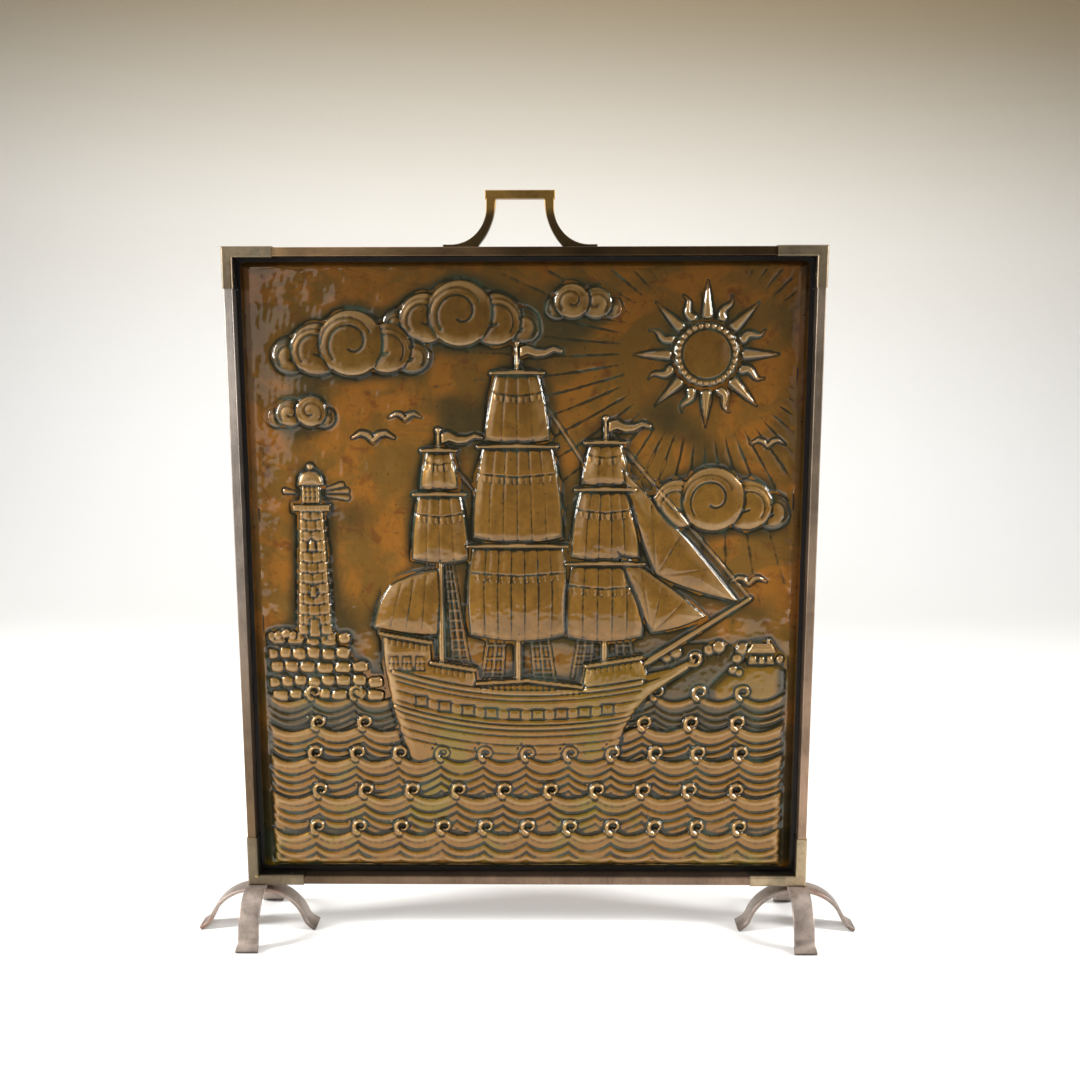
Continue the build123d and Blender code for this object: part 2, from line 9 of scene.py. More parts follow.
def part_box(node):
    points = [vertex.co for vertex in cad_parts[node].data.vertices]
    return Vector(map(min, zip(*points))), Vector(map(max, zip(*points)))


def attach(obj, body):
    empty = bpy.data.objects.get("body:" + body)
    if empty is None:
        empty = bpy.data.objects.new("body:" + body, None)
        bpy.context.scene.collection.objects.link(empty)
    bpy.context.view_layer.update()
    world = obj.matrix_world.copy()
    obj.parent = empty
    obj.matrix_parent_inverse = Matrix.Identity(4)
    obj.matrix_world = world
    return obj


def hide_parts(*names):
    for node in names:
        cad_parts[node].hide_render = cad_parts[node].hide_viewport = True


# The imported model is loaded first, because sizes below come from it.
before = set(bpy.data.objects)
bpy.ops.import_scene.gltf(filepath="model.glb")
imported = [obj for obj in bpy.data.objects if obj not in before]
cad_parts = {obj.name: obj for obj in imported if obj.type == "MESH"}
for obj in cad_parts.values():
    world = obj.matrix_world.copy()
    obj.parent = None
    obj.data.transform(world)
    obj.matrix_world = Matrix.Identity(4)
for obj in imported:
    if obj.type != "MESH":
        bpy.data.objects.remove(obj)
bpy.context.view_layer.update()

bl_info = {
    "name": "Fire guard",
    "version": (1, 0, 0),
    "blender": (4, 5, 0),
    "location": "3D View > Sidebar > Fire Guard",
    "description": "Dresses the fire guard's frame, feet, handle and embossed copper panel",
    "category": "Object",
}

MM = 0.001


def corners_of(name):
    """Lowest and highest corner of a CAD node, in metres."""
    return [Vector(corner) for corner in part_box(name)]


def node_box(name):
    """Lowest and highest corner of a CAD node, in millimetres."""
    return [corner / MM for corner in corners_of(name)]


# Panel, in millimetres
panel_low, panel_high = node_box("relief_panel")
BASE_HALF_WIDTH = (panel_high.x - panel_low.x) / 2
BASE_HALF_HEIGHT = (panel_high.z - panel_low.z) / 2
PANEL_MIDDLE = (panel_high.z + panel_low.z) / 2
PANEL_BACK = panel_high.y
PANEL_DEPTH = 8.0
PANEL_FRONT = PANEL_BACK - PANEL_DEPTH
SIDE_SLOPE = 10.8
END_SLOPE = 4.2
CORNER_RADIUS = 5.0
COPPER_SHEET = 1.0
FIELD_HALF_WIDTH = BASE_HALF_WIDTH - SIDE_SLOPE
FIELD_HALF_HEIGHT = BASE_HALF_HEIGHT - END_SLOPE

# Feet, in millimetres
TOE_LENGTH = 12.0
TOE_SLOPE = math.radians(32)
TOE_THICKNESS = 5.5
TOE_WIDTH = 24.0
TOE_WEAR = 1.1
STRAP_FLATS = {"cross_strap": 4.5, "long_strap": 11.5}

# Fixings at the back, in millimetres
CLIP_FROM_CORNER = 110.0
CLIP_HOLES = (4.5, -11.5)
CLIP_HEAD_RADIUS = 2.8
CLIP_HEAD_HEIGHT = 1.4
CLIP_SHANK_RADIUS = 1.4
BOARD_HEAD_RADIUS = 3.2
BOARD_HEAD_DEPTH = 1.8
BOARD_SHANK_RADIUS = 1.6
BOARD_RIM = 3.0

# Where shade is painted on the frame's inner faces, in millimetres: from the board's edge, from the front, to
# the back
SHADE_FROM_EDGE = (1.0, 0.2)
SHADE_FRONT = (-10.5, -7.0)
SHADE_BACK = (7.6, 7.2)


def length_property(name, description, millimetres, least=0.0):
    return bpy.props.FloatProperty(
        name=name, description=description, default=millimetres * MM, min=least * MM, unit="LENGTH"
    )


class GuardSizes(bpy.types.PropertyGroup):
    """Sizes of the dressed parts."""

    emboss_step: length_property(
        "Emboss step", "Distance between the points of the embossed copper", 1.05, 0.8
    )
    edge_softness: length_property(
        "Edge softness", "How broadly the copper rolls over the edge of its field", 2.6, 0.5
    )
    strap_width: length_property("Strap width", "Width of the straps of the feet", 22)
    strap_thickness: length_property("Strap thickness", "Thickness of the straps of the feet", 4)
    strap_edge: length_property("Strap edge", "Radius of the straps' long edges", 0.9)
    toe_bend: length_property("Toe bend", "How far the bend runs to each side of a toe's kink", 5.5)
    board_swelling: length_property(
        "Board swelling", "How far the backing board swells beyond its cut edges, shut against the frame", 0.6
    )
    slot_width: length_property("Slot width", "Width of the slots in the screw heads", 0.8)
    slot_depth: length_property("Slot depth", "Depth of the slots in the screw heads", 0.8)
    seam_radius: length_property("Seam radius", "Radius of the solder seams on the stiles", 0.7)


def colour_property(name, description, default):
    return bpy.props.FloatVectorProperty(
        name=name, description=description, default=default, size=3, min=0.0, max=1.0, subtype="COLOR"
    )


class GuardColours(bpy.types.PropertyGroup):
    """Colours of the finishes."""

    brown: colour_property("Brown copper", "Olive brown of the sheet's plain ground", (0.225, 0.112, 0.02))
    orange: colour_property("Orange copper", "Bright clouds in the plain ground", (0.37, 0.145, 0.02))
    rust: colour_property("Rust", "Dark red blotches in the plain ground", (0.17, 0.045, 0.012))
    gold: colour_property("Golden copper", "Rubbed metal of the raised forms", (0.262, 0.125, 0.021))
    recess: colour_property("Recess", "Dark greenish tone left in the recesses", (0.02, 0.019, 0.008))
    verdigris: colour_property("Verdigris", "Green of old damp spots", (0.06, 0.085, 0.055))
    bronze: colour_property("Bronze", "Brown of the frame's casing", (0.2, 0.13, 0.085))
    sleeve: colour_property("Sleeves", "Greyish brown of the corner sleeves", (0.185, 0.14, 0.085))
    foot: colour_property("Feet", "Mauve brown of the straps", (0.3, 0.242, 0.205))
    handle: colour_property("Handle", "Golden olive of the grip", (0.22, 0.125, 0.03))
    brass: colour_property("Brass", "Bright brass of pins, tacks and screws", (0.34, 0.24, 0.1))
    floor: colour_property("Floor", "Pale floor and backdrop", (0.93, 0.925, 0.91))


# Embossing
# Heights are worked out in millimetres, across from the middle and up from the lower edge of the field.
SHIP_X = 6.0
KEEL = 112.0
MASTS = ((-96, 118, 366), (-14, 94, 455), (78, 112, 378))
# Square sails: mast, head, foot, half the width at the head and at the foot, number of cloths
SQUARE_SAILS = (
    (-96, 346, 307, 13, 20, 3),
    (-96, 300, 232, 22, 30, 4),
    (-14, 426, 358, 22, 34, 4),
    (-14, 350, 255, 36, 47, 6),
    (-14, 245, 150, 48, 51, 7),
    (78, 354, 312, 16, 25, 3),
    (78, 305, 234, 26, 36, 5),
    (78, 226, 148, 36, 40, 5),
)
WAVE_LEVELS = (198.0, 164.0, 130.0, 88.0, 46.0)
WAVE_PITCH = 46.0
LAND_LEVEL = 262.0
TOWER_X = 56.0 - FIELD_HALF_WIDTH
TOWER_HEIGHT = 136.0
SUN = (FIELD_HALF_WIDTH - 94.0, 2 * FIELD_HALF_HEIGHT - 90.0)
SEA_HALF = FIELD_HALF_WIDTH - 4.0
ARC_STEPS = 12
SPIRAL_STEPS = 24
FORM_MARGIN = 6.0
DEEPEST = -1.4
HIGHEST = 6.6
SHEET_SEED = 7
GROUND_SEED = 11


def smooth(edge, x):
    """0 up to 0, 1 from the edge on, smooth between."""
    t = np.clip(x / edge, 0.0, 1.0)
    return t * t * (3.0 - 2.0 * t)


def cushion(distance, width):
    """Rounded shoulder: 0 at the outline, 1 from the given width inwards."""
    t = np.clip(distance / width, 0.0, 1.0)
    return 1.0 - (1.0 - t) ** 2.2


def swell(random, u, v, wavelength, count=14):
    """Soft irregular ups and downs between about -1 and 1."""
    total = np.zeros_like(u)
    for _ in range(count):
        turn, phase = random.uniform(0, 2 * math.pi, 2)
        size = wavelength * random.uniform(0.7, 1.5)
        total += np.sin((u * math.cos(turn) + v * math.sin(turn)) * 2 * math.pi / size + phase)
    return total / math.sqrt(count / 2) / 1.6


def blurred(values, radius):
    """Values softened over a number of grid steps."""
    reach = int(3 * radius)
    weights = np.exp(-0.5 * (np.arange(-reach, reach + 1) / radius) ** 2)
    weights /= weights.sum()
    for axis in (0, 1):
        border = [(reach, reach) if axis == n else (0, 0) for n in (0, 1)]
        padded = np.pad(values, border, mode="edge")
        size = values.shape[axis]
        values = sum(w * np.take(padded, range(k, k + size), axis=axis) for k, w in enumerate(weights))
    return values


def arc(start, end, sagitta):
    """Points of a shallow arc from start towards end, bulging to the left of the way by the sagitta."""
    (x0, y0), (x1, y1) = start, end
    dx, dy = x1 - x0, y1 - y0
    points = []
    for index in range(ARC_STEPS):
        t = index / ARC_STEPS
        lift = 4 * t * (1 - t) * sagitta / math.hypot(dx, dy)
        points.append((x0 + dx * t - dy * lift, y0 + dy * t + dx * lift))
    return points


def arc_sided(corners, sagitta):
    """Closed outline with a shallow arc between each two corners."""
    points = []
    for start, end in zip(corners, corners[1:] + corners[:1]):
        points += arc(start, end, sagitta)
    return points


def disc(x, y, radius, steps=40):
    turns = np.linspace(0, 2 * math.pi, steps, False)
    return [(x + radius * math.cos(turn), y + radius * math.sin(turn)) for turn in turns]


def block(x, y, half, rise, taper=0.0):
    """Outline that stands on a level, its top narrower on each side by the taper."""
    return [(x - half, y), (x + half, y), (x + half - taper, y + rise), (x - half + taper, y + rise)]


def spiral(x, y, radius, inner, start, sweep):
    """Points of a curl that winds inwards, its start and sweep in degrees."""
    points = []
    for t in np.linspace(0, 1, SPIRAL_STEPS):
        turn = math.radians(start + sweep * t)
        reach = radius + (inner - radius) * t
        points.append((x + reach * math.cos(turn), y + reach * math.sin(turn)))
    return points


def ship(x, rise):
    """Point given from the ship's middle and its keel."""
    return (SHIP_X + x, KEEL + rise)


def aboard(*points):
    """Several points given in the ship's own measure."""
    return [ship(*point) for point in points]


def sheer(x, rise):
    """Level of a plank line that rises towards the bow and the stern."""
    return rise + (0.00115 if x < 0 else 0.00083) * (x + 4) ** 2


class Sheet:
    """Heights of the embossed sheet over its field, in millimetres."""

    def __init__(self, columns, rows):
        self.u, self.v = np.meshgrid(columns, rows)
        self.columns, self.rows = columns, rows
        self.height = np.zeros_like(self.u)

    def window(self, points, margin):
        low, high = np.min(points, axis=0) - margin, np.max(points, axis=0) + margin
        first, last = np.searchsorted(self.columns, (low[0], high[0]))
        below, above = np.searchsorted(self.rows, (low[1], high[1]))
        return slice(below, above), slice(first, last)

    def outline(self, points):
        """Window round a closed outline, and the distance inside it."""
        points = np.asarray(points, float)
        where = self.window(points, FORM_MARGIN)
        u, v = self.u[where], self.v[where]
        nearest = np.full(u.shape, 1e9)
        inside = np.zeros(u.shape, bool)
        for (x0, y0), (x1, y1) in zip(points, np.roll(points, -1, axis=0)):
            dx, dy = x1 - x0, y1 - y0
            length = dx * dx + dy * dy
            if length < 1e-9:
                continue
            t = np.clip(((u - x0) * dx + (v - y0) * dy) / length, 0, 1)
            nearest = np.minimum(nearest, np.hypot(u - x0 - t * dx, v - y0 - t * dy))
            if y0 != y1:
                inside ^= ((y0 > v) != (y1 > v)) & (u < x0 + (v - y0) * dx / dy)
        return where, np.where(inside, nearest, -nearest)

    def stroke(self, points, radii, margin=4.0):
        """Window round a line of varying width, and the distance inside it."""
        points = np.asarray(points, float)
        radii = np.broadcast_to(np.asarray(radii, float), len(points))
        where = self.window(points, margin + radii.max())
        u, v = self.u[where], self.v[where]
        depth = np.full(u.shape, -1e9)
        for (x0, y0), (x1, y1), r0, r1 in zip(points, points[1:], radii, radii[1:]):
            dx, dy = x1 - x0, y1 - y0
            length = max(dx * dx + dy * dy, 1e-9)
            t = np.clip(((u - x0) * dx + (v - y0) * dy) / length, 0, 1)
            depth = np.maximum(depth, r0 + (r1 - r0) * t - np.hypot(u - x0 - t * dx, v - y0 - t * dy))
        return where, depth

    def set_form(self, place, top, groove=0.9, reach=2.8, ease=1.9):
        """Puts a form over what lies behind it, with a chased groove along its outline."""
        where, distance = place
        behind = self.height[where]
        sunk = behind - groove * np.exp(-((np.minimum(distance, 0) / reach) ** 2)) * (distance < reach)
        share = smooth(ease, distance + 0.5)
        self.height[where] = sunk * (1 - share) + np.maximum(top, 0) * share

    def puff(self, points, level, rise, shoulder=7.0, groove=0.7):
        """A cushion-like form on a given level."""
        where, distance = self.outline(points)
        self.set_form((where, distance), level + rise * cushion(distance, shoulder), groove)

    def cut(self, points, depth=0.5, width=1.5):
        """A chased line."""
        where, distance = self.stroke(points, 0.0, 3 * width)
        self.height[where] -= depth * np.exp(-((distance / width) ** 2))

    def bead(self, points, radii, rise, level=None, groove=0.35):
        """A raised round line on what lies behind it, or on a level."""
        where, distance = place = self.stroke(points, radii)
        base = self.height[where] if level is None else level
        width = float(np.max(radii))
        self.set_form(place, base + rise * cushion(distance, width), groove, 1.8, min(1.9, width))


def sky(sheet, random):
    """Uneven ground of the sheet, with flutes that spread from the sun."""
    u, v = sheet.u, sheet.v
    sheet.height += 0.5 * swell(random, u, v, 90) + 0.2 * swell(random, u, v, 26)
    du, dv = u - SUN[0], v - SUN[1]
    distance, turn = np.hypot(du, dv), np.arctan2(dv, du)
    flutes = np.abs(np.sin(turn * 26 + 0.3 * np.sin(distance / 31)))
    fade = smooth(30, distance - 78) * (1 - 0.85 * smooth(330, distance - 60))
    sheet.height += 1.2 * (flutes**0.7 - 0.6) * fade


def sun_and_rays(sheet):
    x, y = SUN
    for index in range(16):
        turn = math.radians(index * 22.5)
        straight = index % 2 == 0
        end, root, wave = (74, 5.6, 0.0) if straight else (64, 4.6, 2.6)
        points, radii = [], []
        for t in np.linspace(0, 1, 9):
            reach = 40 + (end - 40) * t
            bend = wave * math.sin(t * 2 * math.pi)
            across, up = reach * math.cos(turn), reach * math.sin(turn)
            points.append((x + across - bend * math.sin(turn), y + up + bend * math.cos(turn)))
            radii.append(max(root * (1 - t) ** 0.8, 0.5))
        sheet.bead(points, radii, 2.1, 0.0, 0.7)
    sheet.puff(disc(x, y, 34), 0.0, 2.6, 8, 1.1)
    for turn in np.linspace(0, 2 * math.pi, 28, False):
        sheet.puff(disc(x + 29.5 * math.cos(turn), y + 29.5 * math.sin(turn), 2.3, 10), 2.2, 1.2, 2.3, 0.3)
    sheet.cut(disc(x, y, 25.5) + disc(x, y, 25.5)[:1], 0.9, 1.6)
    where, distance = sheet.outline(disc(x, y, 23))
    sheet.set_form((where, distance), 2.0 + 2.2 * cushion(distance, 23), 0.3)


def cloud(sheet, x, y, size, lobes, flip=1):
    """Lobes from the far ones to the near one, each a little higher, with a double curl chased into it."""
    for index, (across, up, radius) in enumerate(lobes):
        cx, cy, r = x + flip * across * size, y + up * size, radius * size
        sheet.puff(disc(cx, cy, r), 0.2 + 0.55 * index, 2.6 * min(1.0, r / 26 + 0.2), min(r, 13), 1.0)
        way = 1 if cx > x else -1
        start = -40 if cx > x else 220
        sheet.cut(spiral(cx, cy, 0.74 * r, 0.2 * r, start, way * 330), 0.95, 1.7)
        sheet.cut(spiral(cx, cy, 0.9 * r, 0.66 * r, start + way * 40, way * 150), 0.7, 1.4)


def cottage(sheet, x, y, size):
    """Small house with a tiled roof, a door, two windows and a chimney."""
    sheet.puff(block(x + 7 * size, y + 18 * size, 2.2 * size, 10 * size), 1.6, 1.6, 2.0, 0.8)
    sheet.puff(block(x, y, 14 * size, 13 * size), 1.5, 1.4, 3.0, 0.8)
    sheet.puff(block(x, y + 12 * size, 17 * size, 12 * size, 6 * size), 2.0, 2.0, 3.0, 1.0)
    for row in (16, 20):
        sheet.cut([(x - 14 * size, y + row * size), (x + 14 * size, y + row * size)], 0.6, 1.1)
    sheet.puff(block(x, y, 2.6 * size, 8.5 * size), 3.0, 0.8, 1.6, 1.0)
    for side in (-1, 1):
        sheet.puff(block(x + side * 8.4 * size, y + 4 * size, 2.4 * size, 5 * size), 3.0, 0.8, 1.6, 1.0)


def hills(sheet):
    """Two hills behind the bow, with a cottage and trees."""
    far = [(118, 150), (118, 214)] + arc((118, 214), (182, 252), 12) + arc((182, 252), (262, 216), 14)
    brow = arc((196, 204), (SEA_HALF, 236), 14)
    near = [(196, 150), (196, 204)] + brow + [(SEA_HALF, 236), (SEA_HALF, 150)]
    sheet.puff(far + [(SEA_HALF, 214), (SEA_HALF, 150)], 0.0, 1.5, 16, 0.8)
    bushes = ((232, 246, 8), (226, 236, 6), (196, 246, 6), (206, 249, 7), (151, 238, 6), (160, 243, 7))
    for x, y, radius in bushes:
        sheet.puff(block(x, y - 1.6 * radius, 1.2, 1.6 * radius), 0.8, 1.0, 1.2, 0.5)
        sheet.puff(disc(x, y, radius, 16), 1.0, 1.9, radius, 0.7)
    sheet.puff(near, 0.3, 1.9, 16, 0.9)
    cottage(sheet, 252, 230, 1.0)
    for x, y, radius in ((SEA_HALF - 5, 236, 5), (222, 224, 5), (228, 221, 4)):
        sheet.puff(disc(x, y, radius, 16), 1.4, 1.7, radius, 0.6)


def headland(sheet, random):
    """Cliff of round boulders with turf along its top."""
    land = [(-SEA_HALF, 170), (-SEA_HALF, LAND_LEVEL), (-206, LAND_LEVEL), (-196, 250), (-176, 224)]
    sheet.puff(land + [(-160, 200), (-150, 176)], 0.0, 2.4, 12, 0.9)
    turns = np.linspace(0, 2 * math.pi, 12, False)
    for row in range(6):
        level = 180 + row * 15.5
        x = 9 * (row % 2) - FIELD_HALF_WIDTH - 2
        while x < -152 - row * 9:
            width, height = random.uniform(13, 20), random.uniform(11, 14)
            middle = (x + width / 2, level + random.uniform(-1.5, 1.5))
            boulder = []
            for turn in turns:
                across, up = math.cos(turn), math.sin(turn)
                reach = random.uniform(0.9, 1.08)
                px = middle[0] + reach * (width / 2 + 0.6) * math.copysign(abs(across) ** 0.8, across)
                py = middle[1] + reach * (height / 2 + 0.6) * math.copysign(abs(up) ** 0.8, up)
                boulder.append((max(px, -SEA_HALF), py))
            sheet.puff(boulder, 1.9, 2.4, 6.0, 1.0)
            x += width + 0.6
    for x in np.arange(-272, -206, 8.0):
        sheet.puff(disc(x, LAND_LEVEL + 1.5 * math.sin(x), 5.5, 16), 2.0, 1.9, 5, 0.7)


def lighthouse(sheet):
    """Round tower of stone courses, with a gallery, a lantern, a dome and beams of light."""
    x, foot, head = TOWER_X, LAND_LEVEL, LAND_LEVEL + TOWER_HEIGHT
    where, distance = place = sheet.outline(block(x, foot, 19, TOWER_HEIGHT, 6))
    round_face = np.sqrt(np.clip(1 - ((sheet.u[where] - x) / 20) ** 2, 0, 1))
    sheet.set_form(place, 1.2 + 3.4 * round_face * cushion(distance, 4), 1.1)
    courses = 12
    rise = TOWER_HEIGHT / courses
    for row in range(courses):
        y, half = foot + rise * row, 19 - 6 * row / courses
        if row:
            sheet.cut([(x - half, y + 1), (x, y - 1), (x + half, y + 1)], 1.0, 1.5)
        for joint in (-0.62, 0.0, 0.62) if row % 2 else (-0.34, 0.34):
            sheet.cut([(x + half * joint, y + 1), (x + half * joint, y + rise - 1)], 0.8, 1.2)
    for y in (foot + 42, foot + 92):
        sheet.puff(block(x, y, 3.4, 11, 1.2), 3.6, 1.0, 2, 1.3)
    sheet.puff(block(x, foot - 2, 6, 20, 1.5), 3.4, 1.2, 3, 1.3)
    sheet.puff(block(x, head - 3, 20, 8), 2.6, 2.4, 4, 0.9)
    for at in range(-16, 17, 4):
        sheet.cut([(x + at, head - 1), (x + at, head + 3)], 0.7, 1.0)
    sheet.puff(block(x, head + 5, 10, 20), 0.8, 2.2, 3, 0.8)
    for at in (-5, 0, 5):
        sheet.cut([(x + at, head + 6), (x + at, head + 24)], 0.9, 1.1)
    for at in (12, 18):
        sheet.cut([(x - 9, head + at), (x + 9, head + at)], 0.7, 1.0)
    top = (x, head + 41)
    dome = [(x - 14, head + 24), (x + 14, head + 24)] + arc((x + 13, head + 27), top, -4)
    sheet.puff(dome + arc(top, (x - 13, head + 27), -4), 1.2, 3.0, 9, 0.9)
    sheet.puff(disc(x, head + 44, 3.6, 16), 1.0, 2.4, 3.6, 0.5)
    for degrees, end in ((-6, 38), (5, 38), (16, 34), (174, 27)):
        turn = math.radians(degrees)
        beam = [(x + r * math.cos(turn), head + 16 + r * math.sin(turn)) for r in (17, end)]
        sheet.bead(beam, [1.4, 2.8], 1.3, None, 0.5)


def sea_row(sheet, random, row):
    """One row of waves, with flowing lines under the crests and a curl on each crest."""
    level = WAVE_LEVELS[row]
    count = round(2 * SEA_HALF / WAVE_PITCH) - row % 2
    pitch = 2 * SEA_HALF / count
    rise = 1.4 + 0.8 * row
    shore = FIELD_HALF_WIDTH + 8
    crest = [(-shore, level - 4)]
    for index in range(count):
        for t in np.linspace(0, 1, 13)[:-1]:
            dip = 9.0 * 4 * t * (1 - t) * (1.18 - 0.36 * t)
            crest.append((-SEA_HALF + pitch * (index + t), level - dip))
    crest += [(SEA_HALF, level), (shore, level - 4)]
    where, distance = place = sheet.outline(crest + [(shore, -10.0), (-shore, -10.0)])
    u, v = sheet.u[where], sheet.v[where]
    below = np.interp(u, *np.array(crest).T) - v
    lip = 1.2 * np.exp(-(((below - 4.0) / 3.4) ** 2))
    fall = 0.7 * np.clip(below / 34.0, 0, 1.2)
    spacing = 8.0 + 0.7 * row
    flow = np.cos((below - 1.0) * 2 * math.pi / spacing + 0.7 * np.sin(u / 17) + 0.5 * np.sin(u / 41 + row))
    strength = 0.62 + 0.2 * swell(random, u, v, 60)
    ripples = strength * np.sign(flow) * np.abs(flow) ** 0.7 * smooth(9, below - 7)
    ripples = ripples * (1 - smooth(34, below - 28))
    top = rise * (0.6 + 0.4 * cushion(distance, 6)) + lip - fall + ripples
    sheet.set_form(place, np.minimum(top, rise + 1.6), 1.2, 3.2)
    for index in range(1, count):
        x = -SEA_HALF + index * pitch
        curl = spiral(x + 3.2, level + 1.0, 8.6, 2.6, 244, -375)
        sheet.bead(curl, np.linspace(2.9, 1.2, len(curl)), 1.9, rise + 0.2, 0.9)
        for across, up, radius in ((-9, 7, 1.5), (-5, 12, 1.2)):
            sheet.puff(disc(x + across, level + up, radius, 10), rise * 0.6, 1.3, radius, 0.3)


def rigging(sheet):
    """Shrouds with their ratlines, and the stays between the masts."""
    for x, foot, top, spread in ((-96, 112, 300, 30), (-14, 94, 350, 40), (78, 104, 305, 34)):
        for side in (-1, 1):
            for part in (0.45, 0.72, 1.0):
                shroud = aboard((x + side * spread * part, foot), (x + side * 2, top))
                sheet.bead(shroud, [1.2, 1.0], 1.1, None, 0.4)
            for t in np.linspace(0.06, 0.8, 14):
                inner, outer = spread * 0.45 * (1 - t), spread * (1 - t)
                y = foot + (top - foot) * t
                sheet.bead(aboard((x + side * inner, y), (x + side * outer, y)), 0.9, 0.8, None, 0.2)
    for start, end in (((232, 190), (78, 372)), ((-14, 440), (78, 300)), ((-96, 350), (-14, 250))):
        sheet.bead(aboard(start, end), 1.2, 1.1, None, 0.5)


def square_sail(sheet, x, head, foot, head_half, foot_half, cloths):
    """Sail that bellies out between its yards, with seams between its cloths and a row of reef points."""
    corners = aboard((x - head_half, head), (x + head_half, head))
    corners += aboard((x + foot_half, foot), (x - foot_half, foot))
    outline = corners[:1]
    for start, end, sagitta in (
        (corners[1], corners[2], head_half / 12),
        (corners[2], corners[3], foot_half / 7),
        (corners[3], corners[0], head_half / 12),
    ):
        outline += arc(start, end, sagitta)
    where, distance = place = sheet.outline(outline)
    u, v = sheet.u[where] - SHIP_X - x, sheet.v[where] - KEEL
    t = np.clip((head - v) / (head - foot), 0, 1)
    half = head_half + (foot_half - head_half) * t
    across = np.clip(np.abs(u) / half, 0, 1)
    belly = np.sin(np.pi * np.clip(t * 0.86 + 0.04, 0, 1)) ** 0.7 * np.sqrt(1 - across**2 * 0.86)
    folds = 0.34 * np.sin(u / half * math.pi * cloths + 0.4 * np.sin(t * 3)) * (1 - 0.5 * t)
    top = 1.3 + 4.2 * belly * cushion(distance, 10) + folds * cushion(distance, 8)
    sheet.set_form(place, np.minimum(top, 5.6), 1.2, 2.8)
    for index in range(1, cloths):
        side = -1 + 2 * index / cloths
        middle = side * (head_half + foot_half) / 2 * 1.03
        low = ship(x + side * foot_half * 0.97, foot - 0.1 * foot_half * (1 - side * side))
        seam = [ship(x + side * head_half * 0.97, head), ship(x + middle, (head + foot) / 2), low]
        sheet.cut(seam, 0.5, 1.15)
    reef = head - (head - foot) * 0.3
    half = head_half + (foot_half - head_half) * 0.3
    sheet.cut(aboard((x - half, reef + 1.5), (x, reef - 2.0), (x + half, reef + 1.5)), 0.6, 1.2)
    for side in np.linspace(-0.86, 0.86, 2 * cloths):
        y = reef + 1.5 - 3.5 * (1 - side * side)
        sheet.bead(aboard((x + side * half, y - 1), (x + side * half, y - 6)), 0.9, 0.8, None, 0.4)
    hem = []
    for side in np.linspace(-0.93, 0.93, 12):
        hem.append(ship(x + side * foot_half, foot + 3.5 - foot_half / 7 * (1 - side**2)))
    sheet.cut(hem, 0.5, 1.1)


def masts_and_sails(sheet):
    for x, foot, top in MASTS:
        sheet.bead(aboard((x, foot), (x, top)), [3.6, 2.0], 3.0, 0.6, 0.8)
        upper = [ship(x + 2 + 9 * n, top + 2.5 * math.sin(1.9 * n) - 0.8 * n) for n in range(6)]
        lower = [(px, py - 13 + 1.9 * n) for n, (px, py) in enumerate(upper)]
        sheet.puff(upper + lower[::-1], 0.7, 1.9, 4, 0.8)
        sheet.puff(disc(*ship(x, top + 2), 3.2, 16), 0.9, 2.2, 3.2, 0.4)
    sheet.bead(aboard((120, 118), (232, 190)), [4.0, 2.2], 3.2, 0.6, 0.8)
    for sail in SQUARE_SAILS:
        square_sail(sheet, *sail)
    for corners in (
        aboard((-98, 222), (-150, 205), (-168, 158), (-100, 150)),
        aboard((220, 186), (94, 330), (132, 214)),
        aboard((186, 170), (92, 240), (128, 152)),
    ):
        place = sheet.outline(arc_sided(corners, -3.0))
        sheet.set_form(place, 1.0 + 3.8 * cushion(place[1], 20), 1.1, 2.8)
        first, second, third, last = np.array(corners[:3] + corners[-1:])
        for t in (0.25, 0.5, 0.75):
            along = first + (second - first) * t
            opposite = last + (third - last) * (t if len(corners) == 4 else 0)
            sheet.cut([along + (opposite - along) * 0.06, along + (opposite - along) * 0.92], 0.5, 1.2)
    for x, head, _, head_half, _, _ in SQUARE_SAILS:
        yard = aboard((x - head_half - 5, head + 1), (x, head + 2), (x + head_half + 5, head + 1))
        sheet.bead(yard, [1.6, 2.8, 1.6], 2.6, 2.6, 0.8)


def stem(level):
    """Where the hull's planks end at the bow."""
    share = min(sheer(104, level) / 84, 1.0)
    return min(90 + 36 * share - 40 * share * (1 - share), 117)


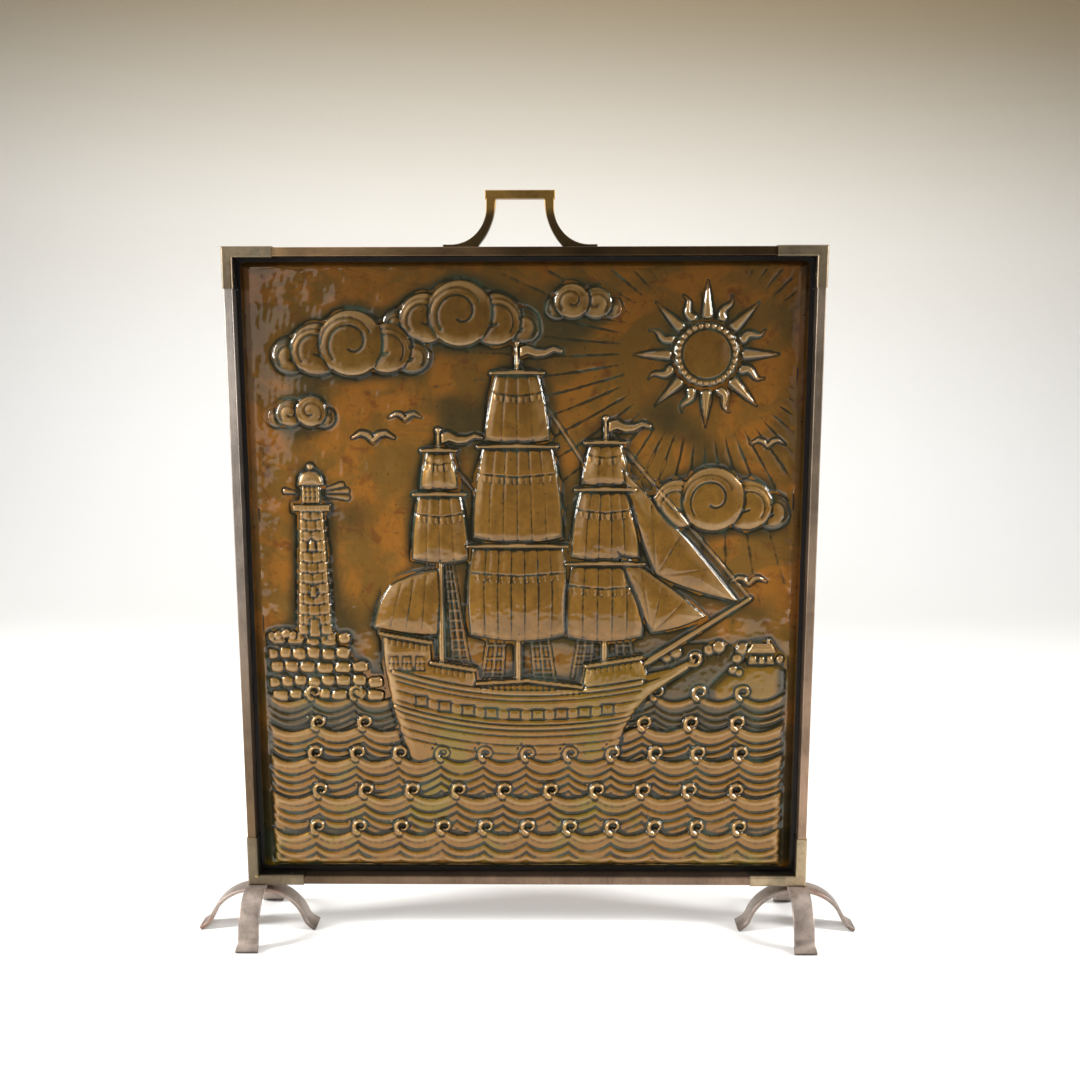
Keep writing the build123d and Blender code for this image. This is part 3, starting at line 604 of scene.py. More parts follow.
def hull(sheet):
    """Planked hull, stern on the left, with windows, ports, rails and a scroll at the bow."""
    points = aboard((-128, 0), (-138, 30), (-150, 70), (-158, 118), (-160, 152))
    points += aboard((-108, 142), (-106, 120), (-60, 112), (-58, 96))
    points += arc(ship(-58, 96), ship(54, 92), 4)
    points += aboard((54, 92), (58, 116), (118, 126), (124, 108), (150, 114))
    points += aboard((178, 128), (176, 118), (150, 100))
    points += arc(ship(128, 84), ship(92, 0), -10) + [ship(92, 0)]
    where, distance = place = sheet.outline(points)
    side = np.clip(1 - ((sheet.v[where] - KEEL - 84) / 92) ** 2, 0, 1) ** 0.6
    sheet.set_form(place, 1.2 + 4.6 * side * cushion(distance, 11), 1.4, 3.0)
    for level in (18, 28, 38, 57, 68, 78):
        plank = [ship(x, sheer(x, level)) for x in np.linspace(-144, stem(level), 40)]
        sheet.cut(plank, 0.75, 1.25)
    for level, radius in ((48, 2.4), (87, 2.6)):
        wale = [ship(x, sheer(x, level)) for x in np.linspace(-147, stem(level) + 1, 44)]
        sheet.bead(wale, radius, 1.2, None, 0.8)
    for x in np.arange(-118, 100, 25.0):
        y = KEEL + sheer(x, 57.5)
        sheet.puff(block(SHIP_X + x, y, 6.2, 11), 4.4, 1.5, 2.2, 1.1)
        sheet.puff(block(SHIP_X + x, y + 2.6, 3.4, 5.8), 4.6, 0.5, 1.2, 1.3)
    for x in (-147, -133, -119):
        sheet.puff(block(SHIP_X + x, KEEL + 112, 5.2, 15, 1.2), 3.4, 1.7, 2.2, 1.1)
        sheet.cut(aboard((x, 114), (x, 125)), 0.9, 0.9)
        sheet.cut(aboard((x - 4, 119.5), (x + 4, 119.5)), 0.9, 0.9)
    for rail in (
        ((-161, 152), (-107, 142)),
        ((-107, 120), (-60, 112)),
        ((58, 116), (118, 126)),
        ((-58, 97), (-4, 100), (54, 93)),
    ):
        for start, end in zip(rail, rail[1:]):
            length = math.hypot(end[0] - start[0], end[1] - start[1])
            for t in np.arange(4, length - 1, 6.5) / length:
                x, y = start[0] + (end[0] - start[0]) * t, start[1] + (end[1] - start[1]) * t
                sheet.cut(aboard((x, y - 3), (x, y - 9)), 0.8, 1.1)
        sheet.bead(aboard(*rail), 2.3, 1.8, 3.4, 0.8)
    sheet.bead(aboard((122, 100), (148, 108), (168, 119)), [2.4, 2.0, 1.8], 1.3, 2.6, 0.6)
    curl = spiral(*ship(174, 125), 8.5, 1.6, -120, 400)
    sheet.bead(curl, np.linspace(2.6, 1.4, len(curl)), 2.0, 1.6, 0.8)


def gulls(sheet):
    for x, y, size in ((-158, 470, 1.0), (-124, 492, 0.75), (252, 464, 0.8), (236, 318, 0.85)):
        for side in (-1, 1):
            wing = [(x + side * size * a, y + size * b) for a, b in ((0, 0), (6, 6), (13, 7.5), (22, 2.5))]
            sheet.bead(wing, np.array([2.6, 2.8, 2.2, 0.9]) * size, 2.0, 0.4, 0.7)


def embossed_sheet(columns, rows):
    """Heights of the finished field: sky, land, a three-masted ship and the sea round it."""
    random = np.random.default_rng(SHEET_SEED)
    sheet = Sheet(columns, rows)
    sky(sheet, random)
    sun_and_rays(sheet)
    big = ((-63, -13, 19), (62, -13, 18), (-36, -6, 27), (36, -5, 26), (0, 0, 34))
    small = ((-30, -7, 12), (28, -7, 13), (-14, -2, 17), (12, 0, 19))
    top = 2 * FIELD_HALF_HEIGHT
    cloud(sheet, -66, top - 48, 1.0, big, -1)
    cloud(sheet, -178, top - 78, 1.0, big)
    cloud(sheet, 196, 408, 1.0, big, -1)
    cloud(sheet, -232, 500, 0.85, small)
    cloud(sheet, 60, 612, 0.95, small, -1)
    hills(sheet)
    headland(sheet, random)
    lighthouse(sheet)
    gulls(sheet)
    sea_row(sheet, random, 0)
    sea_row(sheet, random, 1)
    rigging(sheet)
    masts_and_sails(sheet)
    hull(sheet)
    for row in (2, 3, 4):
        sea_row(sheet, random, row)
    grain = 0.06 * swell(random, sheet.u, sheet.v, 9, 20)
    from_side = FIELD_HALF_WIDTH - np.abs(sheet.u)
    from_end = FIELD_HALF_HEIGHT - np.abs(sheet.v - FIELD_HALF_HEIGHT)
    sheet.height = blurred((sheet.height + grain) * smooth(9.0, np.minimum(from_side, from_end)), 0.55)
    sheet.height = np.clip(sheet.height, DEEPEST, HIGHEST)
    return sheet


# Meshes

def mesh_object(name, vertices, faces, edges=()):
    """New object at the origin from points in metres."""
    mesh = bpy.data.meshes.new(name)
    mesh.from_pydata(vertices, edges, faces)
    mesh.update()
    new_object = bpy.data.objects.new(name, mesh)
    bpy.context.collection.objects.link(new_object)
    return new_object


def add_mark(item, name, values, kind="FLOAT"):
    """Stores a number, or a vector, for each point of an object's mesh."""
    layer = item.data.attributes.new(name, kind, "POINT")
    field = "value" if kind == "FLOAT" else "vector"
    layer.data.foreach_set(field, np.array(values, np.float32).ravel())


def smooth_by_angle(new_object, degrees=35):
    mesh = new_object.data
    mesh.polygons.foreach_set("use_smooth", [True] * len(mesh.polygons))
    mesh.set_sharp_from_angle(angle=math.radians(degrees))


def close_and_turn_out(new_object):
    """Merges doubles and turns all faces outwards."""
    mesh = bmesh.new()
    mesh.from_mesh(new_object.data)
    bmesh.ops.remove_doubles(mesh, verts=mesh.verts, dist=0.002 * MM)
    bmesh.ops.recalc_face_normals(mesh, faces=mesh.faces)
    mesh.to_mesh(new_object.data)
    mesh.free()


def finish_piece(piece, slot, *nodes):
    """Attaches a finished piece to the body and hides the CAD nodes that it stands for; the finish slot is
    not used.
    """
    if nodes:
        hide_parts(*nodes)
    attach(piece, "root")


# Node trees

class Value:
    """A node's output that takes part in Python arithmetic."""

    def __init__(self, bench, socket):
        self.bench = bench
        self.socket = socket

    def maths(self, operation, *others):
        return self.bench.node("ShaderNodeMath", {"operation": operation}, dict(enumerate(others)))

    def __add__(self, other):
        return self.maths("ADD", self, other)

    __radd__ = __add__

    def __mul__(self, other):
        return self.maths("MULTIPLY", self, other)

    __rmul__ = __mul__

    def __sub__(self, other):
        return self.maths("SUBTRACT", self, other)

    def __rsub__(self, other):
        return self.maths("SUBTRACT", other, self)

    def __neg__(self):
        return self.maths("SUBTRACT", 0.0, self)

    def __truediv__(self, other):
        return self.maths("DIVIDE", self, other)

    def __abs__(self):
        return self.maths("ABSOLUTE", self)

    def at_least(self, low):
        return self.maths("MAXIMUM", self, low)

    def clamped(self):
        return self.bench.node("ShaderNodeClamp", {}, {0: self})

    def ramp(self, low, high):
        """0 at the low value, 1 at the high value and smooth between."""
        return self.bench.node(
            "ShaderNodeMapRange",
            {"interpolation_type": "SMOOTHSTEP"},
            {"Value": self, "From Min": low, "From Max": high},
        )


class Bench:
    """A node tree under construction."""

    def __init__(self, tree):
        self.tree = tree

    def node(self, kind, settings, inputs, output=0):
        """Adds a node: its settings first, then the values or links of its visible sockets."""
        new_node = self.tree.nodes.new(kind)
        for name, value in settings.items():
            setattr(new_node, name, value)
        sockets = [socket for socket in new_node.inputs if socket.enabled]
        names = [socket.name for socket in sockets]
        for key, value in inputs.items():
            socket = sockets[names.index(key) if isinstance(key, str) else key]
            for single in value if isinstance(value, list) else [value]:
                if isinstance(single, Value):
                    self.tree.links.new(single.socket, socket)
                else:
                    socket.default_value = single
        outputs = [socket for socket in new_node.outputs if socket.enabled]
        if not outputs:
            return None
        names = [socket.name for socket in outputs]
        return Value(self, outputs[names.index(output) if isinstance(output, str) else output])

    def noise(self, scale, detail=3.0, roughness=0.5, place=None, distortion=0.0):
        inputs = {"Scale": scale, "Detail": detail, "Roughness": roughness, "Distortion": distortion}
        if place:
            inputs["Vector"] = place
        return self.node("ShaderNodeTexNoise", {}, inputs)

    def parts(self, vector):
        """The three numbers of a vector."""
        separated = self.node("ShaderNodeSeparateXYZ", {}, {0: vector})
        return [Value(self, output) for output in separated.socket.node.outputs]

    def vector(self, x, y, z):
        return self.node("ShaderNodeCombineXYZ", {}, {0: x, 1: y, 2: z})

    def vector_sum(self, first, second):
        return self.node("ShaderNodeVectorMath", {"operation": "ADD"}, {0: first, 1: second})

    def scaled(self, vector, factor):
        """A vector or colour times a number."""
        return self.node("ShaderNodeVectorMath", {"operation": "SCALE"}, {0: vector, "Scale": factor})


CARRIER_MARKS = ("spot", "side", "down", "toe", "across", "below", "drop")


class Build(Bench):
    """A Geometry Nodes tree with named sizes, which makes a plain mesh from a path or from points."""

    def __init__(self, name):
        super().__init__(bpy.data.node_groups.new(name, "GeometryNodeTree"))
        for way in ("INPUT", "OUTPUT"):
            self.tree.interface.new_socket("Geometry", in_out=way, socket_type="NodeSocketGeometry")
        self.entry = self.tree.nodes.new("NodeGroupInput")
        self.given = Value(self, self.entry.outputs[0])
        self.sizes = {}

    def size(self, name, value):
        """Named size in metres."""
        item = self.tree.interface.new_socket(name, in_out="INPUT", socket_type="NodeSocketFloat")
        item.subtype = "DISTANCE"
        self.sizes[item.identifier] = value
        return Value(self, self.entry.outputs[name])

    def attribute(self, name, data_type):
        return self.node("GeometryNodeInputNamedAttribute", {"data_type": data_type}, {"Name": name})

    def lifted(self, geometry, height):
        place = self.vector(0.0, 0.0, height)
        return self.node("GeometryNodeTransform", {}, {"Geometry": geometry, "Translation": place})

    def joined(self, *parts):
        return self.node("GeometryNodeJoinGeometry", {}, {"Geometry": list(parts)})

    def boolean(self, operation, inputs):
        settings = {"operation": operation, "solver": "EXACT"}
        return self.node("GeometryNodeMeshBoolean", settings, inputs)

    def box(self, size):
        return self.node("GeometryNodeMeshCube", {}, {"Size": size})

    def squat_ball(self, segments, rings, radius, *scale):
        sphere = {"Segments": segments, "Rings": rings, "Radius": radius}
        ball = self.node("GeometryNodeMeshUVSphere", {}, sphere)
        return self.node("GeometryNodeTransform", {}, {"Geometry": ball, "Scale": self.vector(*scale)})

    def finish(self, geometry, material):
        """Ends the tree in plain geometry with its finish."""
        real = self.node("GeometryNodeRealizeInstances", {}, {0: geometry})
        dressed = self.node("GeometryNodeSetMaterial", {}, {"Geometry": real, "Material": material})
        self.tree.links.new(dressed.socket, self.tree.nodes.new("NodeGroupOutput").inputs[0])

    def run(self, carrier):
        """Turns an object into the plain mesh that the tree makes from it."""
        modifier = carrier.modifiers.new(self.tree.name, "NODES")
        modifier.node_group = self.tree
        for identifier, value in self.sizes.items():
            modifier[identifier] = value
        evaluated = carrier.evaluated_get(bpy.context.evaluated_depsgraph_get())
        mesh = bpy.data.meshes.new_from_object(evaluated)
        carrier.modifiers.remove(modifier)
        carrier.data = mesh
        for name in CARRIER_MARKS:
            if name in mesh.attributes:
                mesh.attributes.remove(mesh.attributes[name])
        close_and_turn_out(carrier)
        smooth_by_angle(carrier)


class Recipe(Bench):
    """A finish under construction."""

    def __init__(self, name):
        self.material = bpy.data.materials.get(name) or bpy.data.materials.new(name)
        self.material.use_nodes = True
        super().__init__(self.material.node_tree)
        self.tree.nodes.clear()
        self.place = self.node("ShaderNodeTexCoord", {}, {}, "Object")

    def mix(self, factor, first, second):
        """Colour between two colours."""
        first, second = (
            colour if isinstance(colour, Value) else (*colour, 1.0) for colour in (first, second)
        )
        return self.node("ShaderNodeMix", {"data_type": "RGBA"}, {0: factor, 1: first, 2: second})

    def stretched(self, *scale):
        """Object coordinates with another scale along each axis."""
        return self.node("ShaderNodeMapping", {}, {"Vector": self.place, "Scale": scale})

    def noise(self, scale, detail=3.0, roughness=0.5, place=None, distortion=0.0):
        return super().noise(scale, detail, roughness, place or self.place, distortion)

    def cells(self, scale):
        return self.node("ShaderNodeTexVoronoi", {}, {"Vector": self.place, "Scale": scale})

    def axis(self, name):
        return self.parts(self.place)["XYZ".index(name)]

    def attribute(self, name):
        return self.node("ShaderNodeAttribute", {"attribute_name": name}, {}, "Fac")

    def painted_gap_shade(self):
        """1 on the frame's inner faces, between its front edge and the backing board, where shade is painted.
        """
        low, high = corners_of("backing_board")
        middle, half_height = (low.z + high.z) / 2, (high.z - low.z) / 2
        x, y, z = self.parts(self.place)
        side = abs(x).ramp(*(high.x + gap * MM for gap in SHADE_FROM_EDGE))
        end = abs(z - middle).ramp(*(half_height + gap * MM for gap in SHADE_FROM_EDGE))
        front, back = (y.ramp(*(depth * MM for depth in depths)) for depths in (SHADE_FRONT, SHADE_BACK))
        return side * end * front * back

    def surface(self, colour, roughness, metallic, bump=None, bump_depth=0.3, **constants):
        """Ends the finish in one shader."""
        values = {"Base Color": colour, "Roughness": roughness, "Metallic": metallic, **constants}
        if bump is not None:
            values["Normal"] = self.node("ShaderNodeBump", {}, {"Height": bump, "Distance": bump_depth * MM})
        shader = self.node("ShaderNodeBsdfPrincipled", {}, values)
        self.node("ShaderNodeOutputMaterial", {}, {"Surface": shader})
        return self.material


# Finishes

def aged_copper(colours):
    """Lacquered copper: golden where raised, orange and rust on the plain ground, with painted shade round
    the forms and towards the top, and a painted highlight on the worn high points.
    """
    recipe = Recipe("aged_copper")
    recess, halo, raised, rubbed = (recipe.attribute(mark) for mark in ("recess", "halo", "raised", "rubbed"))
    height = recipe.axis("Z")
    low = height.ramp(0.40, 0.14)
    high = height.ramp(0.48, 0.70)
    clouds = recipe.noise(15, 8, 0.66, distortion=0.8)
    blotches = recipe.noise(46, 8, 0.7, distortion=0.6)
    ground = recipe.mix(clouds.ramp(0.44, 0.58), colours.brown, colours.orange)
    ground = recipe.mix(blotches.ramp(0.54, 0.64) * 0.6, ground, colours.rust)
    form = recipe.mix(clouds.ramp(0.48, 0.62) * 0.5, colours.gold, (0.27, 0.14, 0.022))
    form = recipe.scaled(form, 0.74 + blotches.ramp(0.65, 0.35) * 0.34)
    colour = recipe.mix(raised.ramp(0.08, 0.36), ground, form)
    # Painted shade: the upper part of the panel is darkened.
    colour = recipe.mix(high * 0.8, colour, recipe.scaled(colour, 0.4))
    damp = recipe.noise(9, 4, 0.6).ramp(0.5, 0.62) * low
    colour = recipe.mix(low * 0.6, colour, (0.28, 0.115, 0.004))
    colour = recipe.mix(damp * 0.6, colour, (0.19, 0.165, 0.006))
    shadow = (halo + clouds * 0.3 - 0.15).ramp(0.18, 0.75)
    colour = recipe.mix(shadow * 0.8, colour, recipe.scaled(colours.recess, 1.8))
    tarnish = recess.ramp(0.06, 0.5)
    colour = recipe.mix(tarnish * 0.94, colour, colours.recess)
    green = recipe.noise(30, 4, 0.6).ramp(0.5, 0.62) * tarnish
    colour = recipe.mix(green * 0.5, colour, colours.verdigris)
    # Worn high points are made lighter: partly bare metal, partly a painted highlight.
    colour = recipe.mix(rubbed.ramp(0.35, 0.95) * 0.45, colour, (0.46, 0.29, 0.12))
    pits = recipe.noise(240, 4, 0.7).ramp(0.62, 0.7)
    colour = recipe.scaled(recipe.mix(pits * 0.65, colour, colours.recess), 0.82)
    roughness = 0.34 + recipe.noise(42, 5, 0.65) * 0.12 + tarnish * 0.25 + pits * 0.2
    lacquer = 0.74 - tarnish * 0.2
    grain = recipe.noise(420, 3, 0.5) * 0.3 + recipe.cells(120) * 0.3 + recipe.noise(70, 2, 0.5)
    constants = {
        "Coat Weight": lacquer.clamped(),
        "Coat Roughness": 0.06,
        "Coat IOR": 1.6,
        "Specular IOR Level": 0.15,
        "Specular Tint": (1.0, 0.87, 0.7, 1.0),
    }
    return recipe.surface(colour, roughness.clamped(), 0.42, grain, 0.2, **constants)


def patina(recipe, tone, roughness, metallic, grain="", clouds=14, spots=None):
    """Ends a finish as old metal: cloudy patches, drawn lines along an axis and dark specks, with painted
    shade on the frame's inner faces.

    Spots are patches of another tone: scale, share, other colour.
    """
    stretch = {"X": (1, 9, 9), "Z": (9, 9, 1)}.get(grain, (3, 3, 3))
    drawn = recipe.noise(60, 4, 0.6, recipe.stretched(*stretch))
    patches = recipe.noise(clouds, 5, 0.6, distortion=0.4)
    specks = recipe.noise(230, 4, 0.7).ramp(0.6, 0.74)
    light = 0.84 + patches.ramp(0.36, 0.66) * 0.5 - drawn.ramp(0.45, 0.72) * 0.22 - specks * 0.35
    tone = recipe.scaled(tone, light)
    if spots:
        scale, share, other = spots
        tone = recipe.mix(recipe.noise(scale, 6, 0.65).ramp(0.56, 0.66) * share, tone, other)
    # Painted shade: the frame's inner faces round the panel are made nearly black.
    tone = recipe.mix(recipe.painted_gap_shade() * 0.93, tone, (0.008, 0.007, 0.006))
    rough = roughness + patches * 0.14 - 0.07 + specks * 0.15
    bump = drawn * 0.4 + recipe.noise(300, 4, 0.6) * 0.5 + recipe.noise(55, 2, 0.5)
    return recipe.surface(tone, rough.clamped(), metallic, bump, 0.15)


def board(name, light, dark, scale):
    """Plain sawn board, its grain along Z and its front nearly black."""
    recipe = Recipe(name)
    along_grain = recipe.stretched(1, 1, 0.08)
    bands = recipe.node(
        "ShaderNodeTexWave",
        {"wave_type": "BANDS", "bands_direction": "X"},
        {"Vector": along_grain, "Scale": scale, "Distortion": 7.0, "Detail": 3.0, "Detail Scale": 1.4},
        "Fac",
    )
    fibres = recipe.noise(60, 4, 0.6, recipe.stretched(10, 10, 0.5))
    tone = recipe.mix(bands * 0.6 + fibres * 0.4, light, dark)
    tone = recipe.mix(recipe.noise(7, 4, 0.6).ramp(0.5, 0.7) * 0.35, tone, recipe.scaled(dark, 0.6))
    # The front face of the board is made nearly black.
    black_front = recipe.axis("Y").ramp((PANEL_BACK + 0.5) * MM, (PANEL_BACK + 0.1) * MM)
    tone = recipe.mix(black_front * 0.97, tone, (0.006, 0.006, 0.006))
    return recipe.surface(tone, 0.62 + fibres * 0.2, 0.0, fibres + bands * 0.4, 0.25)


def dark_rail():
    """The top rail, olive at its left end and nearly black at its right."""
    recipe = Recipe("dark_bronzed_copper")
    tone = recipe.mix(recipe.axis("X").ramp(-0.3, 0.08), (0.25, 0.155, 0.075), (0.042, 0.023, 0.008))
    return patina(recipe, tone, 0.38, 0.75, "X")


def bronzed_bars(colours):
    """The other bars, with painted reflection and shade: the left stile is painted pale grey towards its top,
    the right one darker and olive there, and all of them darker near the bottom.
    """
    recipe = Recipe("bronzed_copper")
    height = recipe.axis("Z")
    upward = height.ramp(0.1, 0.7)
    # Painted reflection: the left stile turns pale grey towards its top.
    left = recipe.mix(upward, (0.115, 0.07, 0.034), (0.36, 0.31, 0.27))
    # Painted shade: the right stile turns darker and olive towards its top.
    right = recipe.mix(upward, recipe.scaled(colours.bronze, 1.3), (0.18, 0.14, 0.1))
    tone = recipe.mix(recipe.axis("X").ramp(-0.295, 0.05), left, right)
    tone = recipe.scaled(tone, 0.72 + height.ramp(0.063, 0.08) * 0.28)
    return patina(recipe, tone, 0.42, 0.7, "Z")


def corner_sleeves(colours):
    recipe = Recipe("olive_brass")
    lit = recipe.axis("X").ramp(-0.2, 0.2) * recipe.axis("Z").ramp(0.4, 0.2)
    tone = recipe.mix(lit, recipe.scaled(colours.sleeve, 0.88), recipe.scaled(colours.sleeve, 1.75))
    return patina(recipe, tone, 0.42, 0.7, spots=(30, 0.3, colours.verdigris))


def handle_finish(colours):
    """Golden on the grip, dark on the legs."""
    recipe = Recipe("handle_brass")
    tone = recipe.mix(recipe.axis("Z").ramp(0.766, 0.778), (0.06, 0.036, 0.012), colours.handle)
    return patina(recipe, tone, 0.36, 0.72)


def foot_finish(colours):
    """Mauve bronze with patches of bare copper, and painted shade that makes the toes dark where they meet
    the floor.
    """
    recipe = Recipe("foot_bronze")
    # Painted shade: the toes turn dark close to the floor.
    painted_floor_shade = recipe.axis("Z").ramp(0.009, 0.001) * 0.6
    tone = recipe.mix(painted_floor_shade, colours.foot, (0.07, 0.05, 0.035))
    return patina(recipe, tone, 0.4, 0.6, clouds=22, spots=(26, 0.45, (0.28, 0.12, 0.07)))


def frame_finishes(colours):
    """The finish of each slot in the record."""
    return (
        dark_rail(),
        bronzed_bars(colours),
        corner_sleeves(colours),
        handle_finish(colours),
        aged_copper(colours),
        foot_finish(colours),
        patina(Recipe("pin_brass"), colours.brass, 0.34, 0.9),
        patina(Recipe("tack_brass"), colours.brass, 0.35, 0.9),
        patina(Recipe("screw_brass"), colours.brass, 0.32, 0.92),
        patina(Recipe("clip_steel"), (0.24, 0.23, 0.215), 0.42, 0.9),
        board("board_wood", (0.42, 0.27, 0.14), (0.26, 0.15, 0.07), 14),
        board("backing_wood", (0.33, 0.2, 0.1), (0.18, 0.1, 0.05), 11),
    )


SLEEVES = [f"corner_sleeve_{end}_{side}" for end in ("top", "bottom") for side in ("left", "right")]
FINISHED_NODES = {
    "dark_bronzed_copper": ["top_rail"],
    "bronzed_copper": ["bottom_rail", "left_stile", "right_stile"],
    "olive_brass": SLEEVES,
    "pin_brass": ["sleeve_pins"],
    "handle_brass": ["carrying_handle", "handle_rivets"],
    "board_wood": ["core_board"],
    "tack_brass": ["panel_tacks"],
    "backing_wood": ["backing_board"],
    "clip_steel": ["board_clips"],
    "foot_bronze": ["left_foot_rivet", "right_foot_rivet"],
}


class FIREGUARD_OT_finishes(bpy.types.Operator):
    """Gives the listed CAD pieces their aged metal or wood finish"""

    bl_idname = "fire_guard.finishes"
    bl_label = "Finish the frame and the handle"

    def execute(self, context):
        finishes = {material.name: material for material in frame_finishes(context.scene.guard_colours)}
        for finish, names in FINISHED_NODES.items():
            for name in names:
                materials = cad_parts[name].data.materials
                materials.clear()
                materials.append(finishes[finish])
        return {"FINISHED"}


# Copper panel

def softly(distance, softness):
    """Ramp that starts with a round bend instead of a sharp one."""
    return (distance + np.sqrt(distance**2 + softness**2)) / 2


def panel_surface(sheet, softness):
    """Points of the whole copper front: embossed field, rolled edge and sloping, hand-beaten sides."""
    strip = np.array([0.05, 0.12, 0.22, 0.36, 0.55, 0.77, 1.0])
    pad = len(strip)
    share_x = np.concatenate([strip[::-1], np.zeros(len(sheet.columns)), strip])
    share_z = np.concatenate([strip[::-1], np.zeros(len(sheet.rows)), strip])
    flat_x = np.pad(sheet.columns, pad, mode="edge")
    flat_z = np.pad(sheet.rows - FIELD_HALF_HEIGHT, pad, mode="edge")
    flat_x = flat_x + np.sign(flat_x) * SIDE_SLOPE * share_x
    flat_z = flat_z + np.sign(flat_z) * END_SLOPE * share_z
    share = np.maximum(share_x[None, :], share_z[:, None])
    x, z = np.meshgrid(flat_x, flat_z)

    side_fall = softly(np.abs(x) - FIELD_HALF_WIDTH, softness) / softly(SIDE_SLOPE, softness)
    end_fall = softly(np.abs(z) - FIELD_HALF_HEIGHT, softness) / softly(END_SLOPE, softness)
    fall = np.clip(np.maximum(side_fall, end_fall), 0, 1)
    fall[share == 1.0] = 1.0

    centre_x = FIELD_HALF_WIDTH + SIDE_SLOPE * share - CORNER_RADIUS
    centre_z = FIELD_HALF_HEIGHT + END_SLOPE * share - CORNER_RADIUS
    p = np.clip((np.abs(x) - centre_x) / CORNER_RADIUS, 0, 1)
    q = np.clip((np.abs(z) - centre_z) / CORNER_RADIUS, 0, 1)
    at_corner = (p > 0) & (q > 0)
    round_x = centre_x + CORNER_RADIUS * p * np.sqrt(1 - q**2 / 2)
    round_z = centre_z + CORNER_RADIUS * q * np.sqrt(1 - p**2 / 2)

    random = np.random.default_rng(GROUND_SEED)
    near_side = smooth(14.0, 14.0 - FIELD_HALF_WIDTH + np.abs(x))
    near_edge = near_side + smooth(9.0, 9.0 - FIELD_HALF_HEIGHT + np.abs(z))
    beaten = 0.45 * swell(random, x, z, 38) + 0.2 * swell(random, x, z, 15)
    beaten = beaten * np.clip(near_edge, 0, 1) * (1 - share)
    height = np.pad(sheet.height, pad, mode="edge") * np.clip(1 - share * 2.5, 0, 1)
    x = np.where(at_corner, np.sign(x) * round_x, x)
    z = np.where(at_corner, np.sign(z) * round_z, z)
    y = PANEL_FRONT + PANEL_DEPTH * fall - height + beaten
    return np.stack([x, y, z + PANEL_MIDDLE], axis=-1), pad


def surface_normals(points):
    """Unit normals of a grid of points, towards the front."""
    normals = np.cross(np.gradient(points, axis=1), np.gradient(points, axis=0))
    return normals / np.linalg.norm(normals, axis=-1, keepdims=True)


def wear_marks(height, pad):
    """Where dirt stays, where the ground is shaded by a form, what stands high, and the worn high points,
    which also carry a painted highlight.
    """
    near, wide = blurred(height, 1.8), blurred(height, 5.5)
    recess = np.clip((near - height) / 0.5, 0, 1) * 0.85 + np.clip((wide - height - 0.1) / 1.3, 0, 1) * 0.8
    halo = np.clip(blurred(np.clip(height / 2.2, 0, 1), 10) * 2.2, 0, 1) * np.clip(1.9 - height / 1.2, 0, 1)
    marks = {
        "recess": np.clip(recess, 0, 1),
        "halo": halo,
        "raised": np.clip(height / 3.0, 0, 1),
        "rubbed": np.clip((height - wide) / 1.2, 0, 1),
    }
    marks = {name: np.pad(values, pad, mode="edge") for name, values in marks.items()}
    at_base = np.ones_like(marks["recess"], dtype=bool)
    at_base[pad + 2:-pad - 2, pad + 2:-pad - 2] = False
    marks["recess"][at_base] *= 0.4
    return marks


